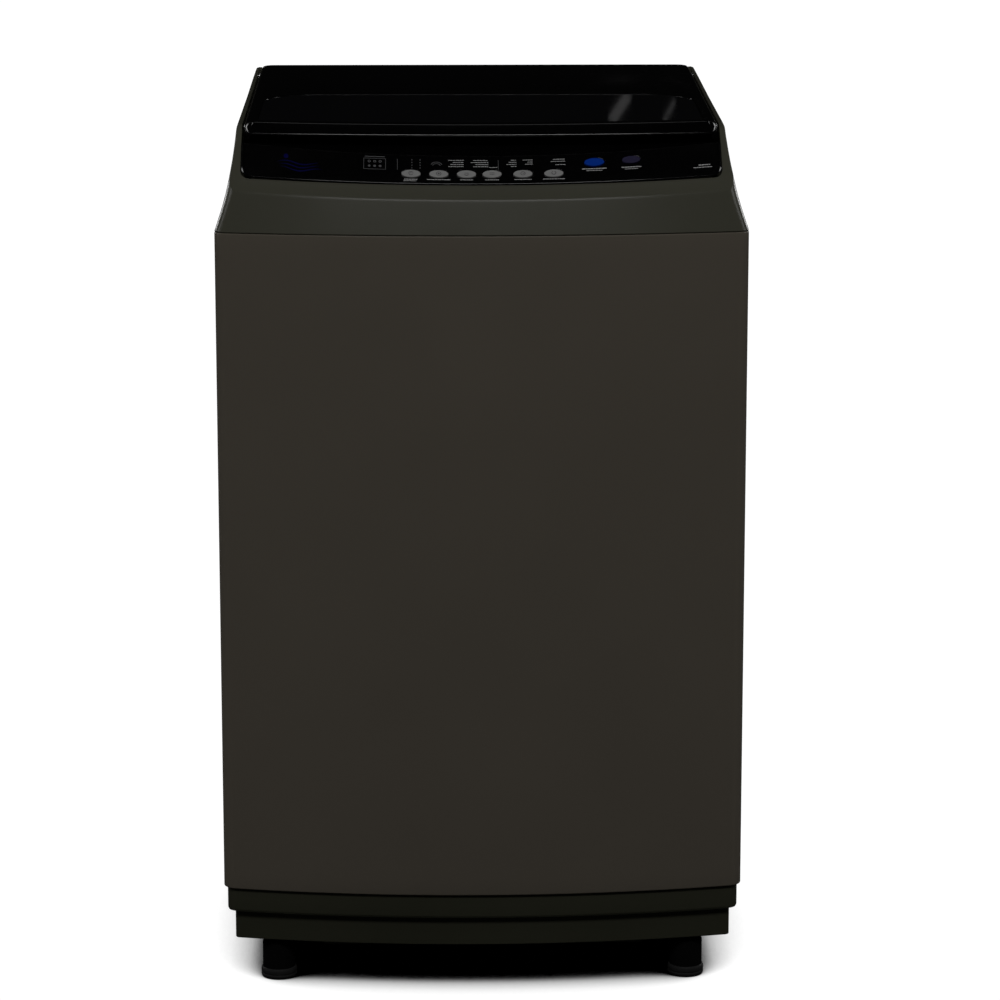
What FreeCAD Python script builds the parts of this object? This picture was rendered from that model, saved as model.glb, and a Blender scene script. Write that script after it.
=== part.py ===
import FreeCAD, Part
import math
import os

"""Top load washing machine, millimetres.

Origin: middle of the bottom of the whole machine, on the floor.
+X is to the right of someone facing the machine, +Y runs to its back, +Z is up.
"Setback" is a distance behind the front plane and "rise" is a height above the joint
between the steel cabinet and the plastic top cover.
"""

V = FreeCAD.Vector
UP = V(0, 0, 1)

# ---- overall sizes -------------------------------------------------------
BODY_WIDTH = 590.0
OVERALL_DEPTH = 610.0
PORT_REACH = 15.0
FOOT_HEIGHT = 50.0
BASE_LOW_BAND = 34.0
BASE_HIGH_BAND = 28.0
CABINET_HEIGHT = 750.0
COVER_RISE = 138.0

# ---- plan shape ----------------------------------------------------------
BOW_RADIUS = 1300.0
FRONT_CORNER = 17.5
REAR_CORNER = 14.0

# ---- walls ---------------------------------------------------------------
STEEL = 1.2
PLASTIC = 3.0
FLANGE = 14.0
RETURN = 14.0
SHADOW_GAP = 1.0
SHADOW_INSET = 1.6

# ---- base and feet -------------------------------------------------------
BASE_HIGH_INSET = 4.0
BASE_LOW_INSET = 12.5
BASE_SERVICE_HOLE = 165.0
BEAD_LEVELS = (0.3, 0.5, 0.7)
BEAD_END = 60.0
BEAD_HALF = 9.0
BEAD_DEPTH = 3.0
FOOT_RADIUS = 20.5
FOOT_PAD = 12.0
FOOT_ROUND = 2.0
FOOT_INSET_SIDE = 61.0
FOOT_INSET_FRONT = 60.0
FOOT_INSET_REAR = 55.0
FOOT_STEM = 5.0
FOOT_STEM_UP = 28.0
FOOT_STEM_CLEARANCE = 0.4
FOOT_BOSS_WALL = 4.0
FOOT_STEM_SUNK = 4.0
LIP_WIDTH = 381.0
LIP_DROP = 6.0
TRAY_FRONT_GAP = 22.0
TRAY_REAR_GAP = 60.0
TRAY_SLANT = 10.0
TRAY_WALL = 3.0
TRAY_LAP = 4.0
STRAP = 13.0

# ---- top cover -----------------------------------------------------------
CHAMFER_SETBACK = 33.0
CHAMFER_RISE = 52.2
CHAMFER_SLOPE = 0.695
PANEL_TOP_SETBACK = 63.0
PANEL_TOP_RISE = 80.8
PANEL_TOP_SMILE = 13.5
CORNER_SETBACK = 33.0
CORNER_RISE = 7.0
RAIL_KNEE_SETBACK = 80.0
RAIL_KNEE_RISE = 94.0
RAIL_BELOW_LID = 4.0
RAIL_WIDTH = 5.0
POCKET_INSET = 28.5
LEAN_REACH = 25.5
LEAN_LEVEL = 58.0
LEAN_POWER = 1.15
POCKET_REAR_OVERRUN = 30.0
POCKET_CORNER = 12.0
POCKET_REAR_CORNER = 2.0
POCKET_BOW_SHARE = 0.96
COVER_LEVELS = (20.0, 40.0, 80.0, 120.0, 160.0)
COVER_CORNER_GROWTH = 0.07
ABOVE_COVER = 240.0
DECK_FRONT_RISE = 84.0
DECK_REAR_RISE = 104.0
CHAMBER_LENGTH = 78.0
CHAMBER_FRONT_RISE = 42.0
CHAMBER_REAR_RISE = 70.0
REAR_WALL_RISE = 108.0
COVER_DRAFT = 0.36
COLLAR_END_RISE = 8.0
MOUTH_MARGIN = 4.0

# ---- lid -----------------------------------------------------------------
LID_FRONT_SETBACK = 87.0
LID_FRONT_RISE = 102.0
LID_KNEE_SETBACK = 100.0
LID_KNEE_RISE = 112.4
LID_BOW = 25.7
LID_SIDE_GAP = 2.5
LID_REAR_SETBACK = 590.0
LID_SKIN = 3.0
LID_RIM = 5.0
LID_FRONT_WALL = 4.0
LID_FRONT_CORNER = 9.0
PIN_BOSS = 8.0
PIN_LENGTH = 30.0
LID_UNDER_FRONT = 94.0
LID_UNDER_REAR = 112.0
LID_CORNER = 15.0
HINGE_SETBACK = 583.0
HINGE_RISE = 124.0
PIN_RADIUS = 4.0
PIN_CLEARANCE = 0.05
BUSH_RADIUS = 7.0
WINDOW_MARGIN = 14.0
WINDOW_FRONT = 14.0
WINDOW_REAR_SETBACK = 330.0
WINDOW_CORNER = 60.0
GLASS = 3.8
GLASS_CLEARANCE = 0.4
GLASS_LEDGE = 6.0
BUFFER_RADIUS = 6.0
BUFFER_FROM_SIDE = 22.0
BUFFER_BEHIND_KNEE = 26.0

# ---- control panel -------------------------------------------------------
PANEL_SKIN = 3.0
LEDGE_RISE = 89.0
LEDGE_SMILE = 2.0
LEDGE_UNDER_LID = 12.0
SCOOP_DEPTH = 7.5
SCOOP_FADE = 5.0
PANEL_GAP = 0.6
SILVER_BUTTON = (21.0, 10.5)
BLUE_BUTTON = (22.0, 11.0)
VIOLET_BUTTON = (20.0, 10.0)
SILVER_X = (-78.0, -47.5, -17.0, 11.0, 45.0, 79.0)
SILVER_UP = 14.0
BLUE_X = 124.0
BLUE_UP = 28.0
VIOLET_X = 165.0
VIOLET_UP = 29.0
BUTTON_PROUD = 1.3
BUTTON_GAP = 0.4
BUTTON_FLANGE = 1.2
FLANGE_BELOW_SKIN = 1.5
BUTTON_STEM = 2.4
BUTTON_TRAVEL = 1.2
BOARD_DEPTH = 12.0
BOARD_THICK = 1.6
BOARD_BEHIND_BOW = 1.2
MAIN_BOARD = (0.0, 100.0, 11.0, 36.0)
SIDE_BOARD_HALF = 34.0
SIDE_BOARD_UP = (16.0, 38.0)
LED_X = (-77.0, -68.0)
LED_UP = (24.0, 28.5, 33.0)
LED_HALF = (1.2, 1.0)
LED_ABOVE_BOARD = 1.5
DISPLAY_PLACE = (30.0, 27.0)
DISPLAY_HALF = 9.0

# ---- wash group ----------------------------------------------------------
TUB_GAP = 32.0
TUB_WALL = 3.0
TUB_BELOW_JOINT = 24.0
TUB_FLOOR = 250.0
TUB_FLOOR_WALL = 4.0
TUB_TRAVEL = 20.0
TUB_RING_WALL = 4.0
BASKET_GAP = 15.0
BASKET_WALL = 1.2
BASKET_FLOOR = 288.0
BASKET_TOP_GAP = 12.0
BALANCE_RING_WIDTH = 38.0
BALANCE_RING_HEIGHT = 45.0
RING_SKIRT = 10.0
DRUM_HOLES = 12
DRUM_HOLE_RADIUS = 8.0
DRUM_HOLE_INSET = 34.0
OPENING_GAP = 5.0
PULSATOR_GAP = 57.0
PULSATOR_LIFT = 8.0
PULSATOR_RIM = 6.0
PULSATOR_DOME = 34.0
PULSATOR_VANES = 6
VANE_HALF = 7.0
VANE_RISE = 20.0
SHAFT_RADIUS = 10.0
SPIN_SHAFT_RADIUS = 17.0
SHAFT_CLEARANCE = 0.05
BEARING_RADIUS = 31.0
BEARING_WIDTH = 14.0
GEAR_CASE_RADIUS = 60.0
GEAR_CASE_BOTTOM = 172.0
PLATE_LEVEL = 232.0
PLATE_THICK = 6.0
PLATE_HALF_DEPTH = 120.0
PLATE_LEFT = -210.0
PLATE_FOOT = 12.0
PULLEY_BOTTOM = 128.0
PULLEY_WIDTH = 20.0
DRIVE_PULLEY = 75.0
MOTOR_PULLEY = 20.0
MOTOR_OFFSET = 165.0
MOTOR_RADIUS = 58.0
MOTOR_SHAFT = 6.0
ROTOR_WALL = 18.0
PULLEY_RIM = 2.5
PULLEY_LIP = 4.0
BELT_THICK = 5.0
BELT_GAP = 0.4
BELT_WIDTH = 12.0

# ---- suspension ----------------------------------------------------------
ROD_RADIUS = 4.0
ROD_CORNER_INSET = 73.0
ROD_PLAY = 1.5
LUG_LEVEL = 352.0
LUG_THICK = 20.0
LUG_WIDTH = 50.0
SPRING_LENGTH = 52.0
SPRING_RADIUS = 14.0
SPRING_WIRE = 2.0
ROD_HEAD = 11.0
HANGER_PLATE = 4.0
HANGER_REACH = 22.0
HANGER_BELOW_JOINT = 16.0

# ---- water and drain -----------------------------------------------------
INLET_X = 160.0
INLET_RISE = 62.0
INLET_THREAD = 13.2
INLET_BORE = 8.5
VALVE_HALF = 18.0
VALVE_DEPTH = 34.0
COIL_RADIUS = 13.0
COIL_LENGTH = 48.0
NIPPLE_RADIUS = 7.0
NIPPLE_BORE = 4.5
NIPPLE_REACH = 12.0
NIPPLE_UP = 6.0
INLET_HOSE = (8.0, 6.0, 9.0)
DRAWER_WIDTH = 110.0
DRAWER_LENGTH = 60.0
DRAWER_HEIGHT = 26.0
DRAWER_WALL = 2.0
DRAWER_GAP = 1.0
HOUSING_WALL = 2.0
SPOUT_HALF = 20.0
SPOUT_WALL = 3.0
SPOUT_DROP = 14.0
HOUSING_NIPPLE_BEHIND = 30.0
HOUSING_NIPPLE_REACH = 16.0
GRIP_HALF = 18.0
DRAWER_TOP_BELOW_DECK = 6.0
DRAIN_X = -120.0
DRAIN_Y = 95.0
DRAIN_LEVEL = 206.0
DRAIN_RADIUS = 24.0
DRAIN_STUB = 14.0
DRAIN_TRAVEL = 12.0
OUTLET_LEVEL = 150.0
OUTLET_RADIUS = 16.0
HOSE_RADIUS = 17.0
HOSE_WALL = 2.5
PLUNGER_RADIUS = 4.0
LEVER_LENGTH = 40.0
LEVER_OFFSET = 8.0
LEVER_BEHIND = 38.0
LEVER_PIN = 3.0
SCREW_HEAD = 4.5
SCREW_PROUD = 2.4
GLAND_X = -190.0
GLAND_RADIUS = 11.0
GLAND_BELOW_TOP = 60.0

# ---- worked out ----------------------------------------------------------
HALF_WIDTH = BODY_WIDTH / 2
FRONT = -OVERALL_DEPTH / 2
REAR = OVERALL_DEPTH / 2 - PORT_REACH
MIDDLE_Y = (FRONT + REAR) / 2
BAND_LEVEL = FOOT_HEIGHT + BASE_LOW_BAND
CABINET_BOTTOM = BAND_LEVEL + BASE_HIGH_BAND
JOINT = CABINET_BOTTOM + CABINET_HEIGHT
TUB_RADIUS = min(HALF_WIDTH, (REAR - FRONT) / 2) - TUB_GAP
TUB_TOP = JOINT - TUB_BELOW_JOINT
BASKET_RADIUS = TUB_RADIUS - TUB_WALL - BASKET_GAP
BASKET_TOP = TUB_TOP - BASKET_TOP_GAP
BALANCE_INNER = BASKET_RADIUS - BALANCE_RING_WIDTH
OPENING_RADIUS = BALANCE_INNER + OPENING_GAP
PULSATOR_RADIUS = BASKET_RADIUS - PULSATOR_GAP
BOW_REACH = HALF_WIDTH - 15.0
POCKET_HALF = HALF_WIDTH - POCKET_INSET
LID_HALF = POCKET_HALF - LID_SIDE_GAP
DECK_FRONT_SETBACK = CHAMFER_SETBACK + CHAMBER_LENGTH + 1.0
ROD_XY = TUB_RADIUS + TUB_GAP - ROD_CORNER_INSET
SPRING_BOTTOM = LUG_LEVEL - SPRING_LENGTH
LEVER_X = -GEAR_CASE_RADIUS - LEVER_OFFSET


# ---- small makers --------------------------------------------------------
def box(x0, x1, y0, y1, z0, z1):
    return Part.makeBox(x1 - x0, y1 - y0, z1 - z0, V(x0, y0, z0))


def rod(radius, start, end):
    run = end.sub(start)
    return Part.makeCylinder(radius, run.Length, start, run)


def post(radius, z0, z1, x=0.0, y=MIDDLE_Y):
    return Part.makeCylinder(radius, z1 - z0, V(x, y, z0), UP)


def pipe(outer, inner, z0, z1, x=0.0, y=MIDDLE_Y):
    return post(outer, z0, z1, x, y).cut(post(inner, z0, z1, x, y))


def turned(points):
    """Solid of revolution about the wash axis from (radius, height) points."""
    ring = [V(r, 0, z) for r, z in points]
    face = Part.Face(Part.makePolygon(ring + ring[:1]))
    solid = face.revolve(V(0, 0, 0), UP, 360)
    solid.translate(V(0, MIDDLE_Y, 0))
    return solid


def joined(shapes):
    return shapes[0].multiFuse(shapes[1:]).removeSplitter()


def save(name, shape):
    if not shape.isValid():
        raise ValueError(f"{name} is not a valid shape")
    shape.exportStep(f"parts/{name}.step")


def save_group(name, shapes):
    save(name, Part.makeCompound(shapes))


def outline(half, front, rear, bow, front_corner, rear_corner, z):
    """Plan outline: bowed front, straight sides and back, four rounded corners."""
    reach = bow - front_corner
    cx = half - front_corner
    cy = front + bow - math.sqrt(reach ** 2 - cx ** 2)
    tx = cx * bow / reach
    ty = front + bow + (cy - front - bow) * bow / reach
    mid = math.atan2(ty - cy, tx - cx) / 2
    mx = cx + front_corner * math.cos(mid)
    my = cy + front_corner * math.sin(mid)
    rx = half - rear_corner
    ry = rear - rear_corner
    nx = rx + rear_corner * math.sqrt(0.5)
    ny = ry + rear_corner * math.sqrt(0.5)
    edges = [
        Part.Arc(V(-tx, ty, z), V(0, front, z), V(tx, ty, z)).toShape(),
        Part.Arc(V(tx, ty, z), V(mx, my, z), V(half, cy, z)).toShape(),
        Part.makeLine(V(half, cy, z), V(half, ry, z)),
        Part.Arc(V(half, ry, z), V(nx, ny, z), V(rx, rear, z)).toShape(),
        Part.makeLine(V(rx, rear, z), V(-rx, rear, z)),
        Part.Arc(V(-rx, rear, z), V(-nx, ny, z), V(-half, ry, z)).toShape(),
        Part.makeLine(V(-half, ry, z), V(-half, cy, z)),
        Part.Arc(V(-half, cy, z), V(-mx, my, z), V(-tx, ty, z)).toShape(),
    ]
    return Part.Wire(edges)


def body_outline(inset, z):
    corner = max(FRONT_CORNER - inset, 2.0)
    back = max(REAR_CORNER - inset, 2.0)
    return outline(HALF_WIDTH - inset, FRONT + inset, REAR - inset, BOW_RADIUS, corner, back, z)


def body_prism(inset, z0, z1):
    return Part.Face(body_outline(inset, z0)).extrude(V(0, 0, z1 - z0))


def body_ring(inset, wall, z0, z1):
    return body_prism(inset, z0, z1).cut(body_prism(inset + wall, z0, z1))


def q(x):
    """0 in the middle, 1 where the bowed front reaches its corner."""
    return (x / BOW_REACH) ** 2


def across(points_at, reach=HALF_WIDTH + 10.0):
    """Solid whose section at each x is the polygon of (setback, rise) points."""
    wires = []
    for share in (-1.0, -0.75, -0.5, -0.25, 0.0, 0.25, 0.5, 0.75, 1.0):
        x = share * reach
        ring = [V(x, FRONT + d, JOINT + h) for d, h in points_at(x)]
        wires.append(Part.makePolygon(ring + ring[:1]))
    return Part.makeLoft(wires, True, False)


def lid_rise(setback):
    slope = (COVER_RISE - LID_KNEE_RISE) / (LID_REAR_SETBACK - LID_KNEE_SETBACK)
    return LID_KNEE_RISE + slope * (setback - LID_KNEE_SETBACK)


def deck_rise(setback):
    slope = (DECK_REAR_RISE - DECK_FRONT_RISE) / (REAR - FRONT - DECK_FRONT_SETBACK)
    return DECK_FRONT_RISE + slope * (setback - DECK_FRONT_SETBACK)


# ---- cabinet -------------------------------------------------------------
def cabinet_shell():
    """Painted steel wrap: front and sides in one sheet, with flanges and rear returns."""
    wrap = body_ring(0.0, STEEL, CABINET_BOTTOM, JOINT)
    opening = HALF_WIDTH - FLANGE - RETURN
    wrap = wrap.cut(box(-opening, opening, REAR - 3.0, REAR + 3.0, CABINET_BOTTOM - 1, JOINT + 1))
    top = body_ring(0.0, FLANGE, JOINT - STEEL, JOINT)
    bottom = body_ring(0.0, FLANGE, CABINET_BOTTOM, CABINET_BOTTOM + STEEL)
    return joined([wrap, top, bottom])


def rear_panel():
    half = HALF_WIDTH - REAR_CORNER - STEEL
    inner = REAR - STEEL
    z0 = CABINET_BOTTOM + STEEL
    z1 = JOINT - STEEL
    sheet = box(-half, half, inner - STEEL, inner, z0, z1)
    for level in BEAD_LEVELS:
        z = z0 + level * (z1 - z0)
        bead = box(-half + BEAD_END, half - BEAD_END, inner - STEEL - BEAD_DEPTH, inner - STEEL,
                   z - BEAD_HALF, z + BEAD_HALF)
        sheet = sheet.fuse(bead)
    sheet = sheet.cut(rod(OUTLET_RADIUS + 1.0, V(DRAIN_X, inner - 9, OUTLET_LEVEL),
                          V(DRAIN_X, inner + 9, OUTLET_LEVEL)))
    gland_z = z1 - GLAND_BELOW_TOP
    sheet = sheet.cut(rod(GLAND_RADIUS, V(GLAND_X, inner - 9, gland_z), V(GLAND_X, inner + 9, gland_z)))
    return sheet.removeSplitter()


def foot_places():
    """Front pair, then rear pair."""
    x = HALF_WIDTH - FOOT_INSET_SIDE
    front = FRONT + FOOT_INSET_FRONT
    rear = REAR - FOOT_INSET_REAR
    return [(-x, front), (x, front), (-x, rear), (x, rear)]


def base_plinth():
    """Moulded base: a wide band under the cabinet, a narrower band below and a floor."""
    high = body_ring(BASE_HIGH_INSET, PLASTIC, BAND_LEVEL, CABINET_BOTTOM)
    low = body_ring(BASE_LOW_INSET, PLASTIC, FOOT_HEIGHT, BAND_LEVEL)
    floor = body_prism(BASE_HIGH_INSET, BAND_LEVEL, BAND_LEVEL + PLASTIC)
    floor = floor.cut(post(BASE_SERVICE_HOLE, BAND_LEVEL - 1, BAND_LEVEL + PLASTIC + 1))
    parts = [high, low, floor]
    for x, y in foot_places():
        parts.append(post(FOOT_RADIUS + FOOT_BOSS_WALL, FOOT_HEIGHT, BAND_LEVEL, x, y))
    base = joined(parts)
    for x, y in foot_places():
        hole = FOOT_STEM + FOOT_STEM_CLEARANCE
        base = base.cut(post(hole, FOOT_HEIGHT - 1, BAND_LEVEL + PLASTIC + 1, x, y))
    return base


def bottom_cover():
    """Shallow tray under the base front, with slanted ends."""
    half = LIP_WIDTH / 2
    y0 = FRONT + BASE_LOW_INSET + PLASTIC + TRAY_FRONT_GAP
    y1 = REAR - BASE_LOW_INSET - PLASTIC - TRAY_REAR_GAP
    top = FOOT_HEIGHT + TRAY_LAP
    low = FOOT_HEIGHT - LIP_DROP
    foot_half = half - TRAY_SLANT
    ring = [V(-half, y0, top), V(-foot_half, y0, low), V(foot_half, y0, low), V(half, y0, top)]
    outer = Part.Face(Part.makePolygon(ring + ring[:1])).extrude(V(0, y1 - y0, 0))
    room = foot_half - TRAY_LAP
    inner = box(-room, room, y0 + TRAY_WALL, y1 - TRAY_WALL, low + TRAY_WALL, top + 1)
    tray = outer.cut(inner)
    straps = []
    for side in (-1, 1):
        for y in (y0 + 8, y1 - 22):
            x0 = min(side * (half - 11 - STRAP), side * (half - 11))
            straps.append(box(x0, x0 + STRAP, y, y + 14, low + TRAY_WALL, BAND_LEVEL))
    return joined([tray] + straps)


def foot(x, y):
    pad = post(FOOT_RADIUS, 0, FOOT_PAD, x, y)
    rims = [edge for edge in pad.Edges if edge.Curve.TypeId == "Part::GeomCircle"]
    pad = pad.makeFillet(FOOT_ROUND, rims)
    collar = post(FOOT_RADIUS - FOOT_ROUND, FOOT_PAD, FOOT_HEIGHT - FOOT_STEM_SUNK, x, y)
    stem = post(FOOT_STEM, FOOT_HEIGHT - FOOT_STEM_SUNK, FOOT_HEIGHT + FOOT_STEM_UP, x, y)
    return joined([pad, collar, stem])


# ---- top cover -----------------------------------------------------------
def side_lean(level):
    """How far the cover's sides lean in at a level above the joint."""
    return LEAN_REACH * (1 - math.exp(-(max(level, 0.0) / LEAN_LEVEL) ** LEAN_POWER))


def cover_sections(inset, levels):
    """Plan outlines of the drafted cover at several heights above the joint."""
    wires = []
    for level in levels:
        half = HALF_WIDTH - side_lean(level) - inset
        front = FRONT + COVER_DRAFT * level + inset
        corner = FRONT_CORNER + COVER_CORNER_GROWTH * level - min(inset, PLASTIC)
        rear_corner = max(REAR_CORNER - inset, 2.0)
        wires.append(outline(half, front, REAR - inset, BOW_RADIUS, corner, rear_corner, JOINT + level))
    return Part.makeLoft(wires, True, False)


def chamfer_point(x, setback, drop=0.0):
    """Rise of the front chamfer at a setback measured in the middle plane."""
    rise = CHAMFER_RISE + CHAMFER_SLOPE * (setback - CHAMFER_SETBACK)
    return (setback + CORNER_SETBACK * q(x), rise + CORNER_RISE * q(x) - drop)


def cover_top(x):
    knee = (RAIL_KNEE_SETBACK + CORNER_SETBACK * q(x), RAIL_KNEE_RISE + CORNER_RISE * q(x))
    far = REAR - FRONT + 20.0
    return [(-70, -30), (-70, chamfer_point(x, -70)[1]), chamfer_point(x, CHAMFER_SETBACK), knee,
            (far, lid_rise(far) - RAIL_BELOW_LID), (far, -30)]


def cover_pocket(x):
    """Space over the deck and the control chamber, which the black parts fill."""
    d = CORNER_SETBACK * q(x)
    h = CORNER_RISE * q(x)
    far = REAR - FRONT + 20.0
    front = CHAMFER_SETBACK + d
    step = DECK_FRONT_SETBACK
    return [(front, ABOVE_COVER), (front, CHAMBER_FRONT_RISE + h), (step, CHAMBER_REAR_RISE),
            (step, deck_rise(step)),
            (REAR - FRONT - PLASTIC, deck_rise(REAR - FRONT - PLASTIC)), (REAR - FRONT - PLASTIC,
                                                                          REAR_WALL_RISE),
            (far, REAR_WALL_RISE), (far, ABOVE_COVER)]


def cover_hollow(x):
    """Space under the skin, deck and chamber floor."""
    d = CORNER_SETBACK * q(x)
    h = CORNER_RISE * q(x)
    drop = PLASTIC * 1.25
    front = CHAMFER_SETBACK + d - PLASTIC
    step = DECK_FRONT_SETBACK - PLASTIC
    back = REAR - FRONT - PLASTIC
    return [(-70, -40), (-70, chamfer_point(x, -70)[1] - drop), (front, CHAMBER_FRONT_RISE + h - PLASTIC),
            (step, CHAMBER_REAR_RISE - PLASTIC), (step, deck_rise(step) - PLASTIC),
            (back + 20, deck_rise(back) - PLASTIC), (back + 20, -40)]


def under_deck(x):
    rise_front = deck_rise(DECK_FRONT_SETBACK) - 1.0
    rise_rear = deck_rise(REAR - FRONT) - 1.0
    return [(DECK_FRONT_SETBACK, -40), (DECK_FRONT_SETBACK, rise_front), (REAR - FRONT, rise_rear),
            (REAR - FRONT, -40)]


def mouth(grow, z0, z1):
    """Loading mouth: a round hole with its front cut straight behind the control chamber."""
    radius = OPENING_RADIUS + grow
    front = FRONT + DECK_FRONT_SETBACK + MOUTH_MARGIN - grow
    return post(radius, z0, z1).common(box(-radius, radius, front, REAR, z0, z1))


def pocket_plan(inset, rear):
    """Column over the plan of the pocket that the black parts fill."""
    wire = outline(POCKET_HALF - inset, FRONT + CHAMFER_SETBACK + inset, rear, BOW_RADIUS * POCKET_BOW_SHARE,
                   POCKET_CORNER, POCKET_REAR_CORNER, JOINT)
    return Part.Face(wire).extrude(V(0, 0, ABOVE_COVER))


def top_cover():
    skin = cover_sections(0.0, (SHADOW_GAP,) + COVER_LEVELS).common(across(cover_top))
    seat = body_ring(SHADOW_INSET, FLANGE - SHADOW_INSET, 0, PLASTIC)
    seat.translate(V(0, 0, JOINT))
    pocket = pocket_plan(0.0, REAR + POCKET_REAR_OVERRUN).common(across(cover_pocket))
    hollow = cover_sections(PLASTIC, (-5.0,) + COVER_LEVELS).common(across(cover_hollow))
    cover = skin.cut(pocket).cut(hollow).fuse(seat)
    low = JOINT + COLLAR_END_RISE
    collar = mouth(PLASTIC, low, JOINT + REAR_WALL_RISE).cut(mouth(0.0, low - 1, JOINT + REAR_WALL_RISE + 1))
    cover = cover.fuse(collar.common(across(under_deck)))
    cover = cover.cut(mouth(0.0, JOINT - 10, JOINT + ABOVE_COVER))
    drawer_half = DRAWER_WIDTH / 2 + DRAWER_GAP + PLASTIC
    top_z = drawer_top() + DRAWER_GAP
    cover = cover.cut(box(-drawer_half, drawer_half, MIDDLE_Y + 150, drawer_front() + 12,
                          top_z - DRAWER_HEIGHT - 2 * DRAWER_GAP, top_z))
    port = V(INLET_X, REAR - 8, JOINT + INLET_RISE)
    cover = cover.cut(rod(INLET_THREAD + 1.5, port, port.add(V(0, 16, 0))))
    for side in (-1, 1):
        end = V(side * (HALF_WIDTH + 5), FRONT + HINGE_SETBACK, JOINT + HINGE_RISE)
        start = V(side * (POCKET_HALF - 8), end.y, end.z)
        stop = V(side * (POCKET_HALF + RAIL_WIDTH - 2.0), end.y, end.z)
        cover = cover.cut(rod(BUSH_RADIUS, start, stop))
    return cover.removeSplitter()


def hinge_bushes():
    bushes = []
    for side in (-1, 1):
        y = FRONT + HINGE_SETBACK
        z = JOINT + HINGE_RISE
        start = V(side * (POCKET_HALF + 0.3), y, z)
        stop = V(side * (POCKET_HALF + RAIL_WIDTH - 2.0), y, z)
        bushes.append(rod(BUSH_RADIUS, start, stop).cut(rod(PIN_RADIUS + PIN_CLEARANCE, start, stop)))
    return bushes


# ---- lid -----------------------------------------------------------------
def lid_line(x):
    return LID_BOW * q(x)


def lid_plan(inset, rear_setback, rear_corner, z0=JOINT + 60, z1=JOINT + 200,
             front_setback=LID_FRONT_SETBACK):
    radius = BOW_REACH ** 2 / (2 * LID_BOW)
    wire = outline(LID_HALF - inset, FRONT + front_setback + inset, FRONT + rear_setback, radius,
                   LID_FRONT_CORNER,
                   rear_corner, z0)
    return Part.Face(wire).extrude(V(0, 0, z1 - z0))


def lid_section(x):
    d = lid_line(x)
    return [(LID_FRONT_SETBACK + d, LID_FRONT_RISE), (LID_KNEE_SETBACK + d, LID_KNEE_RISE),
            (LID_REAR_SETBACK + 5, lid_rise(LID_REAR_SETBACK)),
            (LID_REAR_SETBACK + 5, LID_UNDER_REAR), (DECK_FRONT_SETBACK + d, LID_UNDER_FRONT),
            (LID_FRONT_SETBACK + d, LID_FRONT_RISE - 2.0)]


def lid_cavity(x):
    front = LID_KNEE_SETBACK + lid_line(x) + LID_FRONT_WALL
    far = LID_REAR_SETBACK + 5
    return [(front, LID_KNEE_RISE - LID_SKIN), (far, lid_rise(far) - LID_SKIN), (far, 60), (front, 60)]


def lid_slab(top, depth):
    """Flat slab parallel to the lid's face, from top to depth below it."""
    return across(lambda x: [(40, lid_rise(40) - top), (640, lid_rise(640) - top),
                             (640, lid_rise(640) - depth), (40, lid_rise(40) - depth)])


def window(inset):
    return lid_plan(WINDOW_MARGIN + inset, WINDOW_REAR_SETBACK - inset, WINDOW_CORNER - inset,
                    front_setback=LID_KNEE_SETBACK + WINDOW_FRONT - WINDOW_MARGIN)


def lid_frame():
    shell = lid_plan(0.0, LID_REAR_SETBACK, LID_CORNER).common(across(lid_section))
    cavity = lid_plan(LID_RIM, LID_REAR_SETBACK - LID_RIM, LID_CORNER - LID_RIM).common(across(lid_cavity))
    shell = shell.cut(cavity)
    seat = window(-4.0).common(lid_slab(1.0, GLASS + 3.0))
    frame = shell.fuse(seat)
    frame = frame.cut(window(0.0).common(lid_slab(-5.0, GLASS)))
    frame = frame.cut(window(GLASS_LEDGE))
    for side in (-1, 1):
        centre = V(side * (LID_HALF - PIN_LENGTH), FRONT + HINGE_SETBACK, JOINT + HINGE_RISE)
        frame = frame.fuse(rod(PIN_BOSS, centre, V(side * (LID_HALF - 1), centre.y, centre.z)))
        frame = frame.cut(rod(PIN_RADIUS, centre, V(side * (LID_HALF + 2), centre.y, centre.z)))
    return frame.removeSplitter()


def lid_glass():
    return window(GLASS_CLEARANCE).common(lid_slab(0.2, GLASS))


def lid_pins():
    pins = []
    for side in (-1, 1):
        y = FRONT + HINGE_SETBACK
        z = JOINT + HINGE_RISE
        pins.append(rod(PIN_RADIUS, V(side * (LID_HALF - PIN_LENGTH), y, z),
                        V(side * (POCKET_HALF + RAIL_WIDTH - 2.6), y, z)))
    return pins


def lid_buffers():
    buffers = []
    for side in (-1, 1):
        x = side * (LID_HALF - BUFFER_FROM_SIDE)
        d = LID_KNEE_SETBACK + lid_line(x) + BUFFER_BEHIND_KNEE
        low = JOINT + deck_rise(d) + 0.8
        high = JOINT + lid_rise(d - BUFFER_RADIUS) - GLASS - LID_SKIN - 0.2
        buffers.append(post(BUFFER_RADIUS, low, high, x, FRONT + d))
    return buffers


# ---- control panel -------------------------------------------------------
def panel_foot(x):
    return (CHAMFER_SETBACK + PANEL_GAP + CORNER_SETBACK * q(x), CHAMFER_RISE + 0.4 + CORNER_RISE * q(x))


def panel_head(x):
    return (PANEL_TOP_SETBACK + CORNER_SETBACK * q(x), PANEL_TOP_RISE + PANEL_TOP_SMILE * q(x))


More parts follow.
